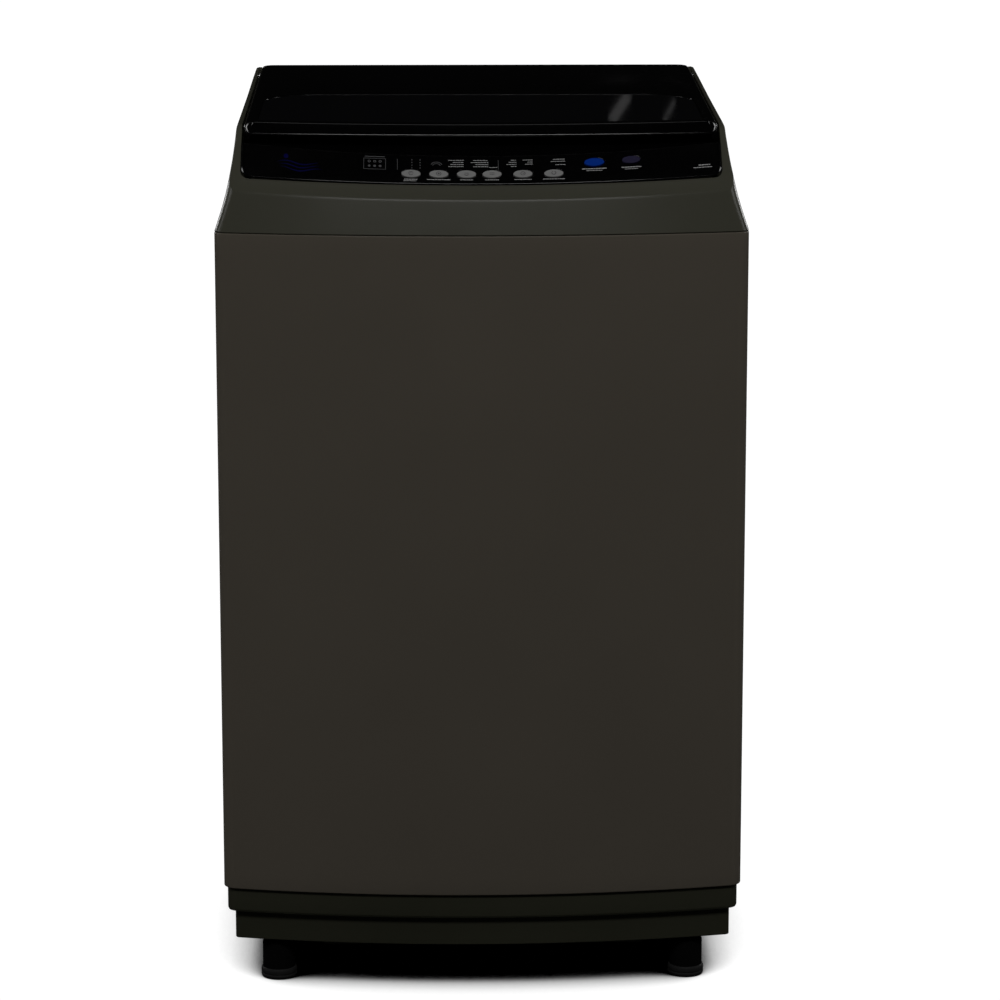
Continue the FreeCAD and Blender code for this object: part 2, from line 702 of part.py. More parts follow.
def panel_section(x):
    """Sloping face, scooped finger recess and rear ledge, as one bent skin."""
    foot_d, foot_h = panel_foot(x)
    head_d, head_h = panel_head(x)
    end_d = LID_FRONT_SETBACK + lid_line(x) + LEDGE_UNDER_LID
    end_h = LEDGE_RISE + LEDGE_SMILE * q(x)
    face = [(foot_d, foot_h), (head_d, head_h)]
    for step in range(1, 6):
        share = step / 6.0
        dip = 4.0 * share * (1 - share) * (SCOOP_DEPTH - SCOOP_FADE * min(q(x), 1.0))
        face.append((head_d + (end_d - head_d) * share, head_h + (end_h - head_h) * share - dip))
    face.append((end_d, end_h))
    face.append((max(end_d + 3.0, DECK_FRONT_SETBACK - 1.0 + lid_line(x)), end_h + 0.5))
    back = [(d + 0.5, h - PANEL_SKIN) for d, h in face[2:]]
    back = [(foot_d + 2.6, foot_h - PANEL_SKIN)] + [(head_d + 1.6, head_h - PANEL_SKIN * 1.3)] + back
    return face + back[::-1]


def panel_frame(x, up):
    """Placement on the panel's face: local X along it, local Y up it, local Z out of it."""
    foot_d, foot_h = panel_foot(x)
    head_d, head_h = panel_head(x)
    along_q = 2 * x / BOW_REACH ** 2
    along = V(1, CORNER_SETBACK * along_q, CORNER_RISE * along_q)
    rise = V(0, head_d - foot_d, head_h - foot_h)
    share = up / rise.Length
    out = along.cross(rise)
    origin = V(x, FRONT + foot_d + rise.y * share, JOINT + foot_h + rise.z * share)
    turn = FreeCAD.Rotation(along, rise, out, "ZYX")
    return FreeCAD.Placement(origin, turn)


def button_list():
    """Name, x, distance up the panel and oval size of each button."""
    rows = [(f"button_{i + 1}", x, SILVER_UP, SILVER_BUTTON) for i, x in enumerate(SILVER_X)]
    rows.append(("button_blue", BLUE_X, BLUE_UP, BLUE_BUTTON))
    rows.append(("button_violet", VIOLET_X, VIOLET_UP, VIOLET_BUTTON))
    return rows


def oval(size, grow, z0, z1):
    ellipse = Part.Ellipse(V(0, 0, z0), size[0] / 2 + grow, size[1] / 2 + grow).toShape()
    return Part.Face(Part.Wire([ellipse])).extrude(V(0, 0, z1 - z0))


def button(x, up, size):
    top = -PANEL_SKIN - FLANGE_BELOW_SKIN
    cap = oval(size, 0.0, top, BUTTON_PROUD)
    flange = oval(size, BUTTON_FLANGE, top - BUTTON_FLANGE, top)
    stem = post(BUTTON_STEM, -BOARD_DEPTH + BUTTON_TRAVEL + 1.0, top - BUTTON_FLANGE / 2, 0, 0)
    solid = joined([cap, flange, stem])
    solid.Placement = panel_frame(x, up)
    return solid


def control_panel():
    skin = pocket_plan(PANEL_GAP, REAR).common(across(panel_section, POCKET_HALF + 6.0))
    for _, x, up, size in button_list():
        hole = oval(size, BUTTON_GAP, -12.0, 6.0)
        hole.Placement = panel_frame(x, up)
        skin = skin.cut(hole)
    return skin


def control_boards():
    """Flat boards behind the bowed face, deep enough for the keys at their ends to travel."""
    boards = []
    top = -BOARD_DEPTH - BOARD_BEHIND_BOW
    side_board = ((BLUE_X + VIOLET_X) / 2, SIDE_BOARD_HALF) + SIDE_BOARD_UP
    for x, half, low, high in (MAIN_BOARD, side_board):
        board = box(-half, half, low - SILVER_UP, high - SILVER_UP, top - BOARD_THICK, top)
        board.Placement = panel_frame(x, SILVER_UP)
        boards.append(board)
    return boards


def indicator_leds():
    """Two columns of light pipes and one block for the time display."""
    lamps = []
    low = -BOARD_DEPTH + LED_ABOVE_BOARD
    wide, tall = LED_HALF
    for x in LED_X:
        for up in LED_UP:
            lamp = box(-wide, wide, -tall, tall, low, -PANEL_SKIN - 1.6)
            lamp.Placement = panel_frame(x, up)
            lamps.append(lamp)
    block = box(-DISPLAY_HALF, DISPLAY_HALF, -3.0, 5.0, low, -PANEL_SKIN - 2.0)
    block.Placement = panel_frame(*DISPLAY_PLACE)
    lamps.append(block)
    return lamps


# ---- water supply --------------------------------------------------------
def drawer_top():
    return JOINT + deck_rise(MIDDLE_Y + OPENING_RADIUS - FRONT) - PLASTIC - DRAWER_TOP_BELOW_DECK


def drawer_front():
    return MIDDLE_Y + OPENING_RADIUS + 2.0


def detergent_drawer():
    half = DRAWER_WIDTH / 2
    y0 = drawer_front()
    top = drawer_top()
    wall = DRAWER_WALL
    body = box(-half, half, y0, y0 + DRAWER_LENGTH, top - DRAWER_HEIGHT, top)
    for side in (-1, 1):
        x0 = min(side * wall / 2, side * (half - wall))
        body = body.cut(box(x0, x0 + half - 1.5 * wall, y0 + 2 * wall, y0 + DRAWER_LENGTH - wall,
                            top - DRAWER_HEIGHT + wall, top + 1))
    grip = box(-GRIP_HALF, GRIP_HALF, y0 - 1, y0 + 1.2, top - 16, top - 6)
    return body.cut(grip)


def dispenser_housing():
    half = DRAWER_WIDTH / 2 + DRAWER_GAP
    y0 = drawer_front() + 6.0
    y1 = drawer_front() + DRAWER_LENGTH + DRAWER_GAP
    top = drawer_top() + DRAWER_GAP
    low = top - DRAWER_HEIGHT - 2 * DRAWER_GAP
    wall = HOUSING_WALL
    outer = box(-half - wall, half + wall, y0, y1 + wall, low - wall, top + wall)
    spout = box(-SPOUT_HALF, SPOUT_HALF, y1 - 24, y1 - 4, low - SPOUT_DROP, low)
    inner = box(-half, half, y0 - 1, y1, low, top)
    z = (top + low) / 2
    y = y0 + HOUSING_NIPPLE_BEHIND
    nipple = rod(NIPPLE_RADIUS, V(half, y, z), V(half + HOUSING_NIPPLE_REACH, y, z))
    housing = joined([outer, spout, nipple]).cut(inner)
    throat = SPOUT_HALF - SPOUT_WALL
    housing = housing.cut(box(-throat, throat, y1 - 21, y1 - 7, low - SPOUT_DROP - 1, low + 1))
    return housing.cut(rod(NIPPLE_BORE, V(half - 3, y, z), V(half + HOUSING_NIPPLE_REACH + 1, y, z)))


def inlet_valve():
    z = JOINT + INLET_RISE
    y_wall = REAR - PLASTIC
    y_coil = y_wall - VALVE_HALF
    left = INLET_X - VALVE_HALF
    body = box(left, INLET_X + VALVE_HALF, y_wall - VALVE_DEPTH, y_wall - 1, z - VALVE_HALF, z + VALVE_HALF)
    thread = rod(INLET_THREAD, V(INLET_X, y_wall - 6, z), V(INLET_X, OVERALL_DEPTH / 2, z))
    coil = rod(COIL_RADIUS, V(INLET_X, y_coil, z - VALVE_HALF), V(INLET_X, y_coil, z - COIL_LENGTH))
    z_nipple = z + NIPPLE_UP
    nipple = rod(NIPPLE_RADIUS, V(left, y_coil, z_nipple), V(left - NIPPLE_REACH, y_coil, z_nipple))
    body = joined([body, thread, coil, nipple])
    return body.cut(rod(INLET_BORE, V(INLET_X, y_wall + 2, z), V(INLET_X, OVERALL_DEPTH / 2 + 1, z)))


def bent_tube(points, outer, inner, bend):
    """Tube along straight runs joined by tangent arcs of one radius."""
    edges = []
    last = points[0]
    for i in range(1, len(points) - 1):
        before = points[i - 1].sub(points[i]).normalize()
        after = points[i + 1].sub(points[i]).normalize()
        half = before.getAngle(after) / 2
        cut = bend / math.tan(half)
        start = points[i].add(V(before).multiply(cut))
        end = points[i].add(V(after).multiply(cut))
        centre_dir = before.add(after).normalize()
        centre = points[i].add(V(centre_dir).multiply(bend / math.sin(half)))
        mid = centre.sub(V(centre_dir).multiply(bend))
        edges.append(Part.makeLine(last, start))
        edges.append(Part.Arc(start, mid, end).toShape())
        last = end
    edges.append(Part.makeLine(last, points[-1]))
    path = Part.Wire(edges)
    first = points[1].sub(points[0])
    solids = []
    for radius in (outer, inner):
        ring = Part.Wire([Part.makeCircle(radius, points[0], first)])
        solids.append(path.makePipeShell([ring], True, False, 2))
    return solids[0].cut(solids[1])


def inlet_hose():
    y = REAR - PLASTIC - VALVE_HALF
    z_valve = JOINT + INLET_RISE + NIPPLE_UP
    half = DRAWER_WIDTH / 2 + DRAWER_GAP
    z_box = drawer_top() - DRAWER_HEIGHT / 2
    y_box = drawer_front() + 36.0
    x_valve = INLET_X - VALVE_HALF - NIPPLE_REACH - 2
    x_box = half + HOUSING_NIPPLE_REACH + 2
    middle = (x_valve + x_box) / 2
    points = [V(x_valve, y, z_valve), V(middle, y, z_valve), V(middle, y_box, z_box), V(x_box, y_box, z_box)]
    return bent_tube(points, *INLET_HOSE)


# ---- wash group ----------------------------------------------------------
def outer_tub():
    tub = turned([(30, TUB_FLOOR), (TUB_RADIUS, TUB_FLOOR), (TUB_RADIUS, TUB_TOP),
                  (TUB_RADIUS - TUB_WALL, TUB_TOP),
                  (TUB_RADIUS - TUB_WALL, TUB_FLOOR + TUB_FLOOR_WALL), (30, TUB_FLOOR + TUB_FLOOR_WALL)])
    parts = [tub]
    for sx in (-1, 1):
        for sy in (-1, 1):
            lug = box(TUB_RADIUS - 1.5, math.hypot(ROD_XY, ROD_XY) + 15, -LUG_WIDTH / 2, LUG_WIDTH / 2,
                      LUG_LEVEL,
                      LUG_LEVEL + LUG_THICK)
            lug.rotate(V(0, 0, 0), UP, math.degrees(math.atan2(sy, sx)))
            lug.translate(V(0, MIDDLE_Y, 0))
            parts.append(lug)
    body = joined(parts)
    for x, y in rod_places():
        body = body.cut(post(ROD_RADIUS + ROD_PLAY, LUG_LEVEL - 1, LUG_LEVEL + LUG_THICK + 1, x, y))
    return body.cut(post(DRAIN_STUB - 3, TUB_FLOOR - 1, TUB_FLOOR + TUB_FLOOR_WALL + 1, DRAIN_X, DRAIN_Y))


def tub_ring():
    return turned([(BALANCE_INNER + 8, TUB_TOP), (TUB_RADIUS + 1, TUB_TOP),
                   (TUB_RADIUS + 1, TUB_TOP + TUB_RING_WALL),
                   (BALANCE_INNER + 14, TUB_TOP + TUB_RING_WALL), (BALANCE_INNER + 11, TUB_TOP + 10),
                   (BALANCE_INNER + 8, TUB_TOP + 10)])


def mounting_plate():
    plate = box(PLATE_LEFT, MOTOR_OFFSET + MOTOR_RADIUS + 8, MIDDLE_Y - PLATE_HALF_DEPTH,
                MIDDLE_Y + PLATE_HALF_DEPTH,
                PLATE_LEVEL, PLATE_LEVEL + PLATE_THICK)
    plate = plate.cut(post(GEAR_CASE_RADIUS - 20, PLATE_LEVEL - 1, PLATE_LEVEL + PLATE_THICK + 1))
    plate = plate.cut(post(DRAIN_STUB + 2, PLATE_LEVEL - 1, PLATE_LEVEL + PLATE_THICK + 1, DRAIN_X, DRAIN_Y))
    feet = []
    for x in (-150, 150):
        for y in (-90, 90):
            feet.append(post(PLATE_FOOT, PLATE_LEVEL + PLATE_THICK, TUB_FLOOR, x, MIDDLE_Y + y))
    return joined([plate] + feet)


def gear_case():
    case = turned([(BEARING_RADIUS, GEAR_CASE_BOTTOM), (GEAR_CASE_RADIUS - 14, GEAR_CASE_BOTTOM),
                   (GEAR_CASE_RADIUS, GEAR_CASE_BOTTOM + 14), (GEAR_CASE_RADIUS, PLATE_LEVEL),
                   (BEARING_RADIUS, PLATE_LEVEL)])
    neck = pipe(BEARING_RADIUS + 5, BEARING_RADIUS, PLATE_LEVEL, TUB_FLOOR - 1)
    y = MIDDLE_Y + LEVER_BEHIND
    lug = box(LEVER_X - 7, -GEAR_CASE_RADIUS + 12, y - 8, y + 8, 186, 194)
    pin = post(LEVER_PIN, 194, 204, LEVER_X, y)
    return joined([case, neck, lug, pin])


def clutch_lever():
    y = MIDDLE_Y + LEVER_BEHIND
    bar = box(LEVER_X - 5, LEVER_X + 5, y, y + LEVER_LENGTH, 195, 199)
    boss = post(7, 195, 202, LEVER_X, y)
    return joined([bar, boss]).cut(post(LEVER_PIN + SHAFT_CLEARANCE, 190, 206, LEVER_X, y))


def bearings():
    inner = SPIN_SHAFT_RADIUS + SHAFT_CLEARANCE
    rings = []
    for z in (GEAR_CASE_BOTTOM + 4, PLATE_LEVEL + 2):
        rings.append(pipe(BEARING_RADIUS, inner, z, z + BEARING_WIDTH))
    return rings


def motor_body():
    low = PULLEY_BOTTOM + PULLEY_WIDTH + 10
    can = pipe(MOTOR_RADIUS, MOTOR_SHAFT + ROTOR_WALL + 2, low, PLATE_LEVEL - 14, MOTOR_OFFSET)
    cap_low = pipe(MOTOR_RADIUS - 4, MOTOR_SHAFT + SHAFT_CLEARANCE, low - 4, low + 6, MOTOR_OFFSET)
    cap_high = post(MOTOR_RADIUS - 4, PLATE_LEVEL - 20, PLATE_LEVEL - 8, MOTOR_OFFSET)
    parts = [can, cap_low, cap_high]
    bolt_circle = MOTOR_RADIUS - 18
    for angle in (45, 135, 225, 315):
        x = MOTOR_OFFSET + bolt_circle * math.cos(math.radians(angle))
        y = MIDDLE_Y + bolt_circle * math.sin(math.radians(angle))
        parts.append(post(8, PLATE_LEVEL - 9, PLATE_LEVEL, x, y))
    return joined(parts)


def motor_shaft():
    shaft = post(MOTOR_SHAFT, PULLEY_BOTTOM - 4, PLATE_LEVEL - 26, MOTOR_OFFSET)
    rotor = post(MOTOR_SHAFT + ROTOR_WALL, PULLEY_BOTTOM + PULLEY_WIDTH + 20, PLATE_LEVEL - 28, MOTOR_OFFSET)
    return joined([shaft, rotor])


def pulley(radius, bore, x):
    z0 = PULLEY_BOTTOM
    z1 = PULLEY_BOTTOM + PULLEY_WIDTH
    wheel = pipe(radius, bore, z0, z1, x)
    for rim in (z0, z1 - PULLEY_RIM):
        wheel = wheel.fuse(pipe(radius + PULLEY_LIP, radius - 1, rim, rim + PULLEY_RIM, x))
    return wheel.removeSplitter()


def drive_belt():
    """Belt loop: two arcs and two tangent runs round the pulleys."""
    def loop(grow):
        big = DRIVE_PULLEY + grow
        small = MOTOR_PULLEY + grow
        lean = math.acos((big - small) / MOTOR_OFFSET)
        bx = big * math.cos(lean)
        by = big * math.sin(lean)
        sx = MOTOR_OFFSET + small * math.cos(lean)
        sy = small * math.sin(lean)
        z = PULLEY_BOTTOM + (PULLEY_WIDTH - BELT_WIDTH) / 2
        edges = [
            Part.Arc(V(bx, by, z), V(-big, 0, z), V(bx, -by, z)).toShape(),
            Part.makeLine(V(bx, -by, z), V(sx, -sy, z)),
            Part.Arc(V(sx, -sy, z), V(MOTOR_OFFSET + small, 0, z), V(sx, sy, z)).toShape(),
            Part.makeLine(V(sx, sy, z), V(bx, by, z)),
        ]
        return Part.Face(Part.Wire(edges)).extrude(V(0, 0, BELT_WIDTH))
    belt = loop(BELT_GAP + BELT_THICK).cut(loop(BELT_GAP))
    belt.translate(V(0, MIDDLE_Y, 0))
    return belt


def spin_basket():
    floor_inner = SPIN_SHAFT_RADIUS
    top = BASKET_TOP - BALANCE_RING_HEIGHT + RING_SKIRT
    drum = turned([(floor_inner, BASKET_FLOOR), (BASKET_RADIUS - 20, BASKET_FLOOR),
                   (BASKET_RADIUS, BASKET_FLOOR + 20), (BASKET_RADIUS, top), (BASKET_RADIUS - BASKET_WALL,
                                                                              top),
                   (BASKET_RADIUS - BASKET_WALL, BASKET_FLOOR + 20.5), (BASKET_RADIUS - 20.5,
                                                                        BASKET_FLOOR + 2),
                   (floor_inner, BASKET_FLOOR + 2)])
    holes = []
    circle = BASKET_RADIUS - DRUM_HOLE_INSET
    for i in range(DRUM_HOLES):
        angle = 2 * math.pi * (i + 0.5) / DRUM_HOLES
        x = circle * math.cos(angle)
        y = MIDDLE_Y + circle * math.sin(angle)
        holes.append(post(DRUM_HOLE_RADIUS, BASKET_FLOOR - 1, BASKET_FLOOR + 3, x, y))
    return drum.cut(holes)


def balance_ring():
    low = BASKET_TOP - BALANCE_RING_HEIGHT
    outer = BASKET_RADIUS + 3
    drum = BASKET_RADIUS - BASKET_WALL
    inner = BALANCE_INNER
    skirt = low + RING_SKIRT
    return turned([(inner, low + 8), (inner + 8, low), (drum, low), (drum, skirt), (outer, skirt),
                   (outer, BASKET_TOP - 4), (outer - 4, BASKET_TOP), (inner + 6, BASKET_TOP), (inner,
                                                                                               BASKET_TOP - 8)])


def basket_hub():
    low = TUB_FLOOR + TUB_FLOOR_WALL + 8
    return turned([(SPIN_SHAFT_RADIUS, low), (60, low), (100, BASKET_FLOOR - 6), (100, BASKET_FLOOR),
                   (SPIN_SHAFT_RADIUS, BASKET_FLOOR)])


def spin_shaft():
    inner = SHAFT_RADIUS + SHAFT_CLEARANCE
    return pipe(SPIN_SHAFT_RADIUS, inner, GEAR_CASE_BOTTOM - 2, BASKET_FLOOR + 4)


def lint_filter():
    """Flat cassette clipped to the inside of the drum wall."""
    z0 = BASKET_FLOOR + 150
    y = MIDDLE_Y + BASKET_RADIUS - BASKET_WALL
    case = box(-45, 45, y - 16, y + 2, z0, z0 + 190)
    return case.common(post(BASKET_RADIUS - BASKET_WALL - 0.2, z0 - 1, z0 + 191))


def pulsator():
    """Dished disc with a raised hub and radial vanes."""
    z = BASKET_FLOOR + PULSATOR_LIFT
    radius = PULSATOR_RADIUS
    disc = turned([(SHAFT_RADIUS, z), (radius, z), (radius, z + PULSATOR_RIM),
                   (radius - 12, z + PULSATOR_RIM + 4),
                   (90, z + 12), (48, z + 20), (26, z + PULSATOR_DOME), (SHAFT_RADIUS, z + PULSATOR_DOME)])
    parts = [disc]
    for i in range(PULSATOR_VANES):
        vane = box(20, radius - 8, -VANE_HALF, VANE_HALF, z + 2, z + VANE_RISE)
        vane = vane.common(Part.makeCone(radius + 30, 20, 30, V(0, 0, z), UP))
        vane.rotate(V(0, 0, 0), UP, i * 360.0 / PULSATOR_VANES)
        vane.translate(V(0, MIDDLE_Y, 0))
        parts.append(vane)
    return joined(parts)


def pulsator_shaft():
    return post(SHAFT_RADIUS, PULLEY_BOTTOM - 6, BASKET_FLOOR + PULSATOR_LIFT + PULSATOR_DOME - 6)


def pulsator_screw():
    top = BASKET_FLOOR + PULSATOR_LIFT + PULSATOR_DOME
    return post(SHAFT_RADIUS - 0.01, top - 6, top).fuse(post(16, top, top + 4)).removeSplitter()


# ---- suspension ----------------------------------------------------------
def rod_places():
    return [(sx * ROD_XY, MIDDLE_Y + sy * ROD_XY) for sx in (-1, 1) for sy in (-1, 1)]


def suspension_rods():
    top = JOINT - HANGER_BELOW_JOINT
    rods = []
    for x, y in rod_places():
        rods.append(joined([post(ROD_RADIUS, SPRING_BOTTOM - 6, top + 6, x, y),
                            post(SPRING_RADIUS, SPRING_BOTTOM - 4, SPRING_BOTTOM, x, y),
                            post(ROD_HEAD, top, top + 7, x, y)]))
    return rods


def suspension_springs():
    """Each coil spring stands as the sleeve that its turns fill."""
    inner = SPRING_RADIUS - 2 * SPRING_WIRE
    return [pipe(SPRING_RADIUS, inner, SPRING_BOTTOM, LUG_LEVEL, x, y) for x, y in rod_places()]


def hanger_brackets():
    """Corner plates that carry the rods, fixed under the cabinet's top flange."""
    brackets = []
    level = JOINT - HANGER_BELOW_JOINT
    under = level - HANGER_PLATE
    inside = body_prism(STEEL, under, JOINT - STEEL)
    for x, y in rod_places():
        sx = math.copysign(1, x)
        sy = math.copysign(1, y - MIDDLE_Y)
        x0, x1 = sorted((x - sx * HANGER_REACH, sx * (HALF_WIDTH + 1)))
        y0, y1 = sorted((y - sy * HANGER_REACH, MIDDLE_Y + sy * 320))
        plate = box(x0, x1, y0, y1, under, level)
        w0, w1 = sorted((sx * (HALF_WIDTH - HANGER_PLATE), sx * (HALF_WIDTH + 1)))
        wall = box(w0, w1, y0, y1, under, JOINT - STEEL)
        back_limit = REAR - 2 * STEEL - BEAD_DEPTH - 1.0
        plate = joined([plate, wall]).common(inside)
        plate = plate.cut(box(-400, 400, back_limit, 400, level - 10, JOINT))
        brackets.append(plate.cut(post(ROD_RADIUS + 0.5, level - 9, level + 9, x, y)))
    return brackets


# ---- drain ---------------------------------------------------------------
def drain_valve():
    z = DRAIN_LEVEL
    x0 = DRAIN_X - 30
    body = rod(DRAIN_RADIUS, V(x0, DRAIN_Y, z), V(DRAIN_X + 28, DRAIN_Y, z))
    inlet = post(DRAIN_STUB, z, TUB_FLOOR, DRAIN_X, DRAIN_Y)
    outlet = rod(DRAIN_STUB, V(DRAIN_X, DRAIN_Y, z), V(DRAIN_X, DRAIN_Y + 48, z))
    valve = joined([body, inlet, outlet])
    valve = valve.cut(rod(DRAIN_RADIUS - 4, V(x0 + 4, DRAIN_Y, z), V(DRAIN_X + 24, DRAIN_Y, z)))
    valve = valve.cut(post(DRAIN_STUB - 3, z, TUB_FLOOR + 1, DRAIN_X, DRAIN_Y))
    valve = valve.cut(rod(DRAIN_STUB - 3, V(DRAIN_X, DRAIN_Y, z), V(DRAIN_X, DRAIN_Y + 49, z)))
    return valve.cut(rod(PLUNGER_RADIUS + 0.4, V(x0 - 1, DRAIN_Y, z), V(x0 + 6, DRAIN_Y, z)))


def drain_plunger():
    z = DRAIN_LEVEL
    x_in = DRAIN_X + 12
    stem = rod(PLUNGER_RADIUS, V(DRAIN_X - 86, DRAIN_Y, z), V(x_in, DRAIN_Y, z))
    disc = rod(DRAIN_RADIUS - 6, V(x_in - 6, DRAIN_Y, z), V(x_in, DRAIN_Y, z))
    return joined([stem, disc])


def drain_actuator():
    z = DRAIN_LEVEL
    x1 = DRAIN_X - 64
    body = box(x1 - 44, x1, DRAIN_Y - 22, DRAIN_Y + 22, z - 22, PLATE_LEVEL)
    return body.cut(rod(PLUNGER_RADIUS + 0.4, V(x1 - 40, DRAIN_Y, z), V(x1 + 1, DRAIN_Y, z)))


def drain_hose():
    y0 = DRAIN_Y + 49
    y1 = REAR - 2 * STEEL - 14
    start = V(DRAIN_X, y0, DRAIN_LEVEL)
    drop = (y0 + y1) / 2
    points = [start, V(DRAIN_X, drop - 12, DRAIN_LEVEL), V(DRAIN_X, drop + 12, OUTLET_LEVEL),
              V(DRAIN_X, y1, OUTLET_LEVEL)]
    return bent_tube(points, HOSE_RADIUS, HOSE_RADIUS - HOSE_WALL, 20.0)


def drain_outlet():
    y0 = REAR - 2 * STEEL - 13
    z = OUTLET_LEVEL
    tube = rod(OUTLET_RADIUS, V(DRAIN_X, y0, z), V(DRAIN_X, OVERALL_DEPTH / 2 - 1, z))
    collar = rod(OUTLET_RADIUS + 8, V(DRAIN_X, REAR - 2 * STEEL - 4, z), V(DRAIN_X, REAR - 2 * STEEL, z))
    return joined([tube, collar]).cut(rod(OUTLET_RADIUS - 3, V(DRAIN_X, y0 - 1, z),
                                          V(DRAIN_X, OVERALL_DEPTH, z)))


def cord_gland():
    z = JOINT - STEEL - GLAND_BELOW_TOP
    y = REAR - STEEL
    sleeve = rod(GLAND_RADIUS, V(GLAND_X, y - 12, z), V(GLAND_X, y + 4, z))
    head = rod(GLAND_RADIUS + 4, V(GLAND_X, y, z), V(GLAND_X, y + 4, z))
    gland = joined([sleeve, head])
    return gland.cut(rod(4.5, V(GLAND_X, y - 13, z), V(GLAND_X, y + 10, z)))


def pressure_sensor():
    z = JOINT + 40
    x = -HALF_WIDTH + 62
    puck = rod(22.0, V(x, REAR - PLASTIC - 26, z), V(x, REAR - PLASTIC - 0.2, z))
    nipple = rod(3.0, V(x, REAR - PLASTIC - 20, z - 21), V(x, REAR - PLASTIC - 20, z - 34))
    return joined([puck, nipple])


def lid_switch():
    x = POCKET_HALF - 40
    y = MIDDLE_Y + OPENING_RADIUS + 30
    top = JOINT + deck_rise(y - FRONT) - PLASTIC - 2.0
    return box(x - 14, x + 14, y - 9, y + 9, top - 18, top)


def cover_screws():
    """Pan-head screws: four through the cover's rear wall and four in the rear panel."""
    heads = []
    for x in (-HALF_WIDTH + 30, -60.0, 60.0, HALF_WIDTH - 30):
        z = JOINT + 22
        heads.append(rod(SCREW_HEAD, V(x, REAR, z), V(x, REAR + SCREW_PROUD, z)))
    edge = HALF_WIDTH - FLANGE - RETURN / 2
    for x in (-edge, edge):
        for z in (CABINET_BOTTOM + 40, JOINT - 40):
            heads.append(rod(SCREW_HEAD, V(x, REAR, z), V(x, REAR + SCREW_PROUD, z)))
    return heads


def shaft_seal():
    return pipe(30, SPIN_SHAFT_RADIUS + SHAFT_CLEARANCE, TUB_FLOOR, TUB_FLOOR + 7)


# ---- build ---------------------------------------------------------------
os.makedirs("parts", exist_ok=True)

for node, maker in {
    "cabinet_shell": cabinet_shell, "rear_panel": rear_panel, "base_plinth": base_plinth,
    "bottom_cover": bottom_cover, "top_cover": top_cover, "lid_frame": lid_frame, "lid_glass": lid_glass,
    "control_panel": control_panel, "detergent_drawer": detergent_drawer, "dispenser_housing": dispenser_housing,
    "inlet_valve": inlet_valve, "inlet_hose": inlet_hose, "outer_tub": outer_tub, "tub_ring": tub_ring,
    "mounting_plate": mounting_plate, "gear_case": gear_case, "clutch_lever": clutch_lever,
    "motor_body": motor_body, "motor_shaft": motor_shaft, "drive_belt": drive_belt, "spin_basket": spin_basket,
    "balance_ring": balance_ring, "basket_hub": basket_hub, "spin_shaft": spin_shaft, "lint_filter": lint_filter,
    "pulsator": pulsator, "pulsator_shaft": pulsator_shaft, "pulsator_screw": pulsator_screw,
    "drain_valve": drain_valve, "drain_plunger": drain_plunger, "drain_actuator": drain_actuator,
    "drain_hose": drain_hose, "drain_outlet": drain_outlet, "cord_gland": cord_gland,
    "pressure_sensor": pressure_sensor, "lid_switch": lid_switch, "shaft_seal": shaft_seal,
}.items():
    save(node, maker())

for node, maker in {
    "hinge_bushes": hinge_bushes, "lid_pins": lid_pins, "lid_buffers": lid_buffers, "control_board": control_boards,
    "indicator_leds": indicator_leds, "bearings": bearings, "suspension_rods": suspension_rods,
    "suspension_springs": suspension_springs, "hanger_brackets": hanger_brackets, "cover_screws": cover_screws,
}.items():
    save_group(node, maker())

FEET = foot_places()
save("front_foot_left", foot(*FEET[0]))
save("front_foot_right", foot(*FEET[1]))
save_group("rear_feet", [foot(*place) for place in FEET[2:]])
save("drive_pulley", pulley(DRIVE_PULLEY, SHAFT_RADIUS, 0.0))
save("motor_pulley", pulley(MOTOR_PULLEY, MOTOR_SHAFT, MOTOR_OFFSET))

for node, place_x, place_up, oval_size in button_list():
    save(node, button(place_x, place_up, oval_size))
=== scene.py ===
"""Looks of a top load washing machine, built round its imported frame, in metres.

+X is to the right of someone facing the machine, +Y runs to its back and +Z is up. A "setback" is a distance
behind the front plane, and a "rise" is a height above the joint between the steel cabinet and the top cover.
"""
import logging
import math
from dataclasses import dataclass, field
from enum import Enum

import bmesh
import bpy
import numpy as np
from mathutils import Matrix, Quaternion, Vector


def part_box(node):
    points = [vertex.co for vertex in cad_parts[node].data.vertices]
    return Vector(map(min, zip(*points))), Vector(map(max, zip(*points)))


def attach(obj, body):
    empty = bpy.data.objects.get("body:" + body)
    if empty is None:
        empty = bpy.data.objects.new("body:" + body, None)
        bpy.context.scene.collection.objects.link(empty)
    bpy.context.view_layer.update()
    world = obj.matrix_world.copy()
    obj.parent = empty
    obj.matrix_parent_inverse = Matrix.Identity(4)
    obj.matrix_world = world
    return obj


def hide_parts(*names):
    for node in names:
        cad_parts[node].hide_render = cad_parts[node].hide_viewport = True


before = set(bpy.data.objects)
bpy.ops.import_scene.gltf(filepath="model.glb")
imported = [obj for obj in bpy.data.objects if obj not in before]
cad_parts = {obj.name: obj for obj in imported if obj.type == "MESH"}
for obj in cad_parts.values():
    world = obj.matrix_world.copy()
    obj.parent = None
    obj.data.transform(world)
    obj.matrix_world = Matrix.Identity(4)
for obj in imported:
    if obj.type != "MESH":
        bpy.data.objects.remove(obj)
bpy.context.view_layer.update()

log = logging.getLogger("washer")
MM = 0.001


# ---- surfaces -------------------------------------------------------------------------------------------------
@dataclass
class Surface:
    """Points (n, 3) and the faces that join them, as arrays of four and of three indices."""

    points: np.ndarray
    quads: np.ndarray
    tris: np.ndarray = field(default_factory=lambda: np.zeros((0, 3), int))

    def shifted(self, x: float = 0.0, y: float = 0.0, z: float = 0.0) -> "Surface":
        """The same surface moved by x, y, z."""
        return Surface(self.points + np.array([x, y, z]), self.quads, self.tris)


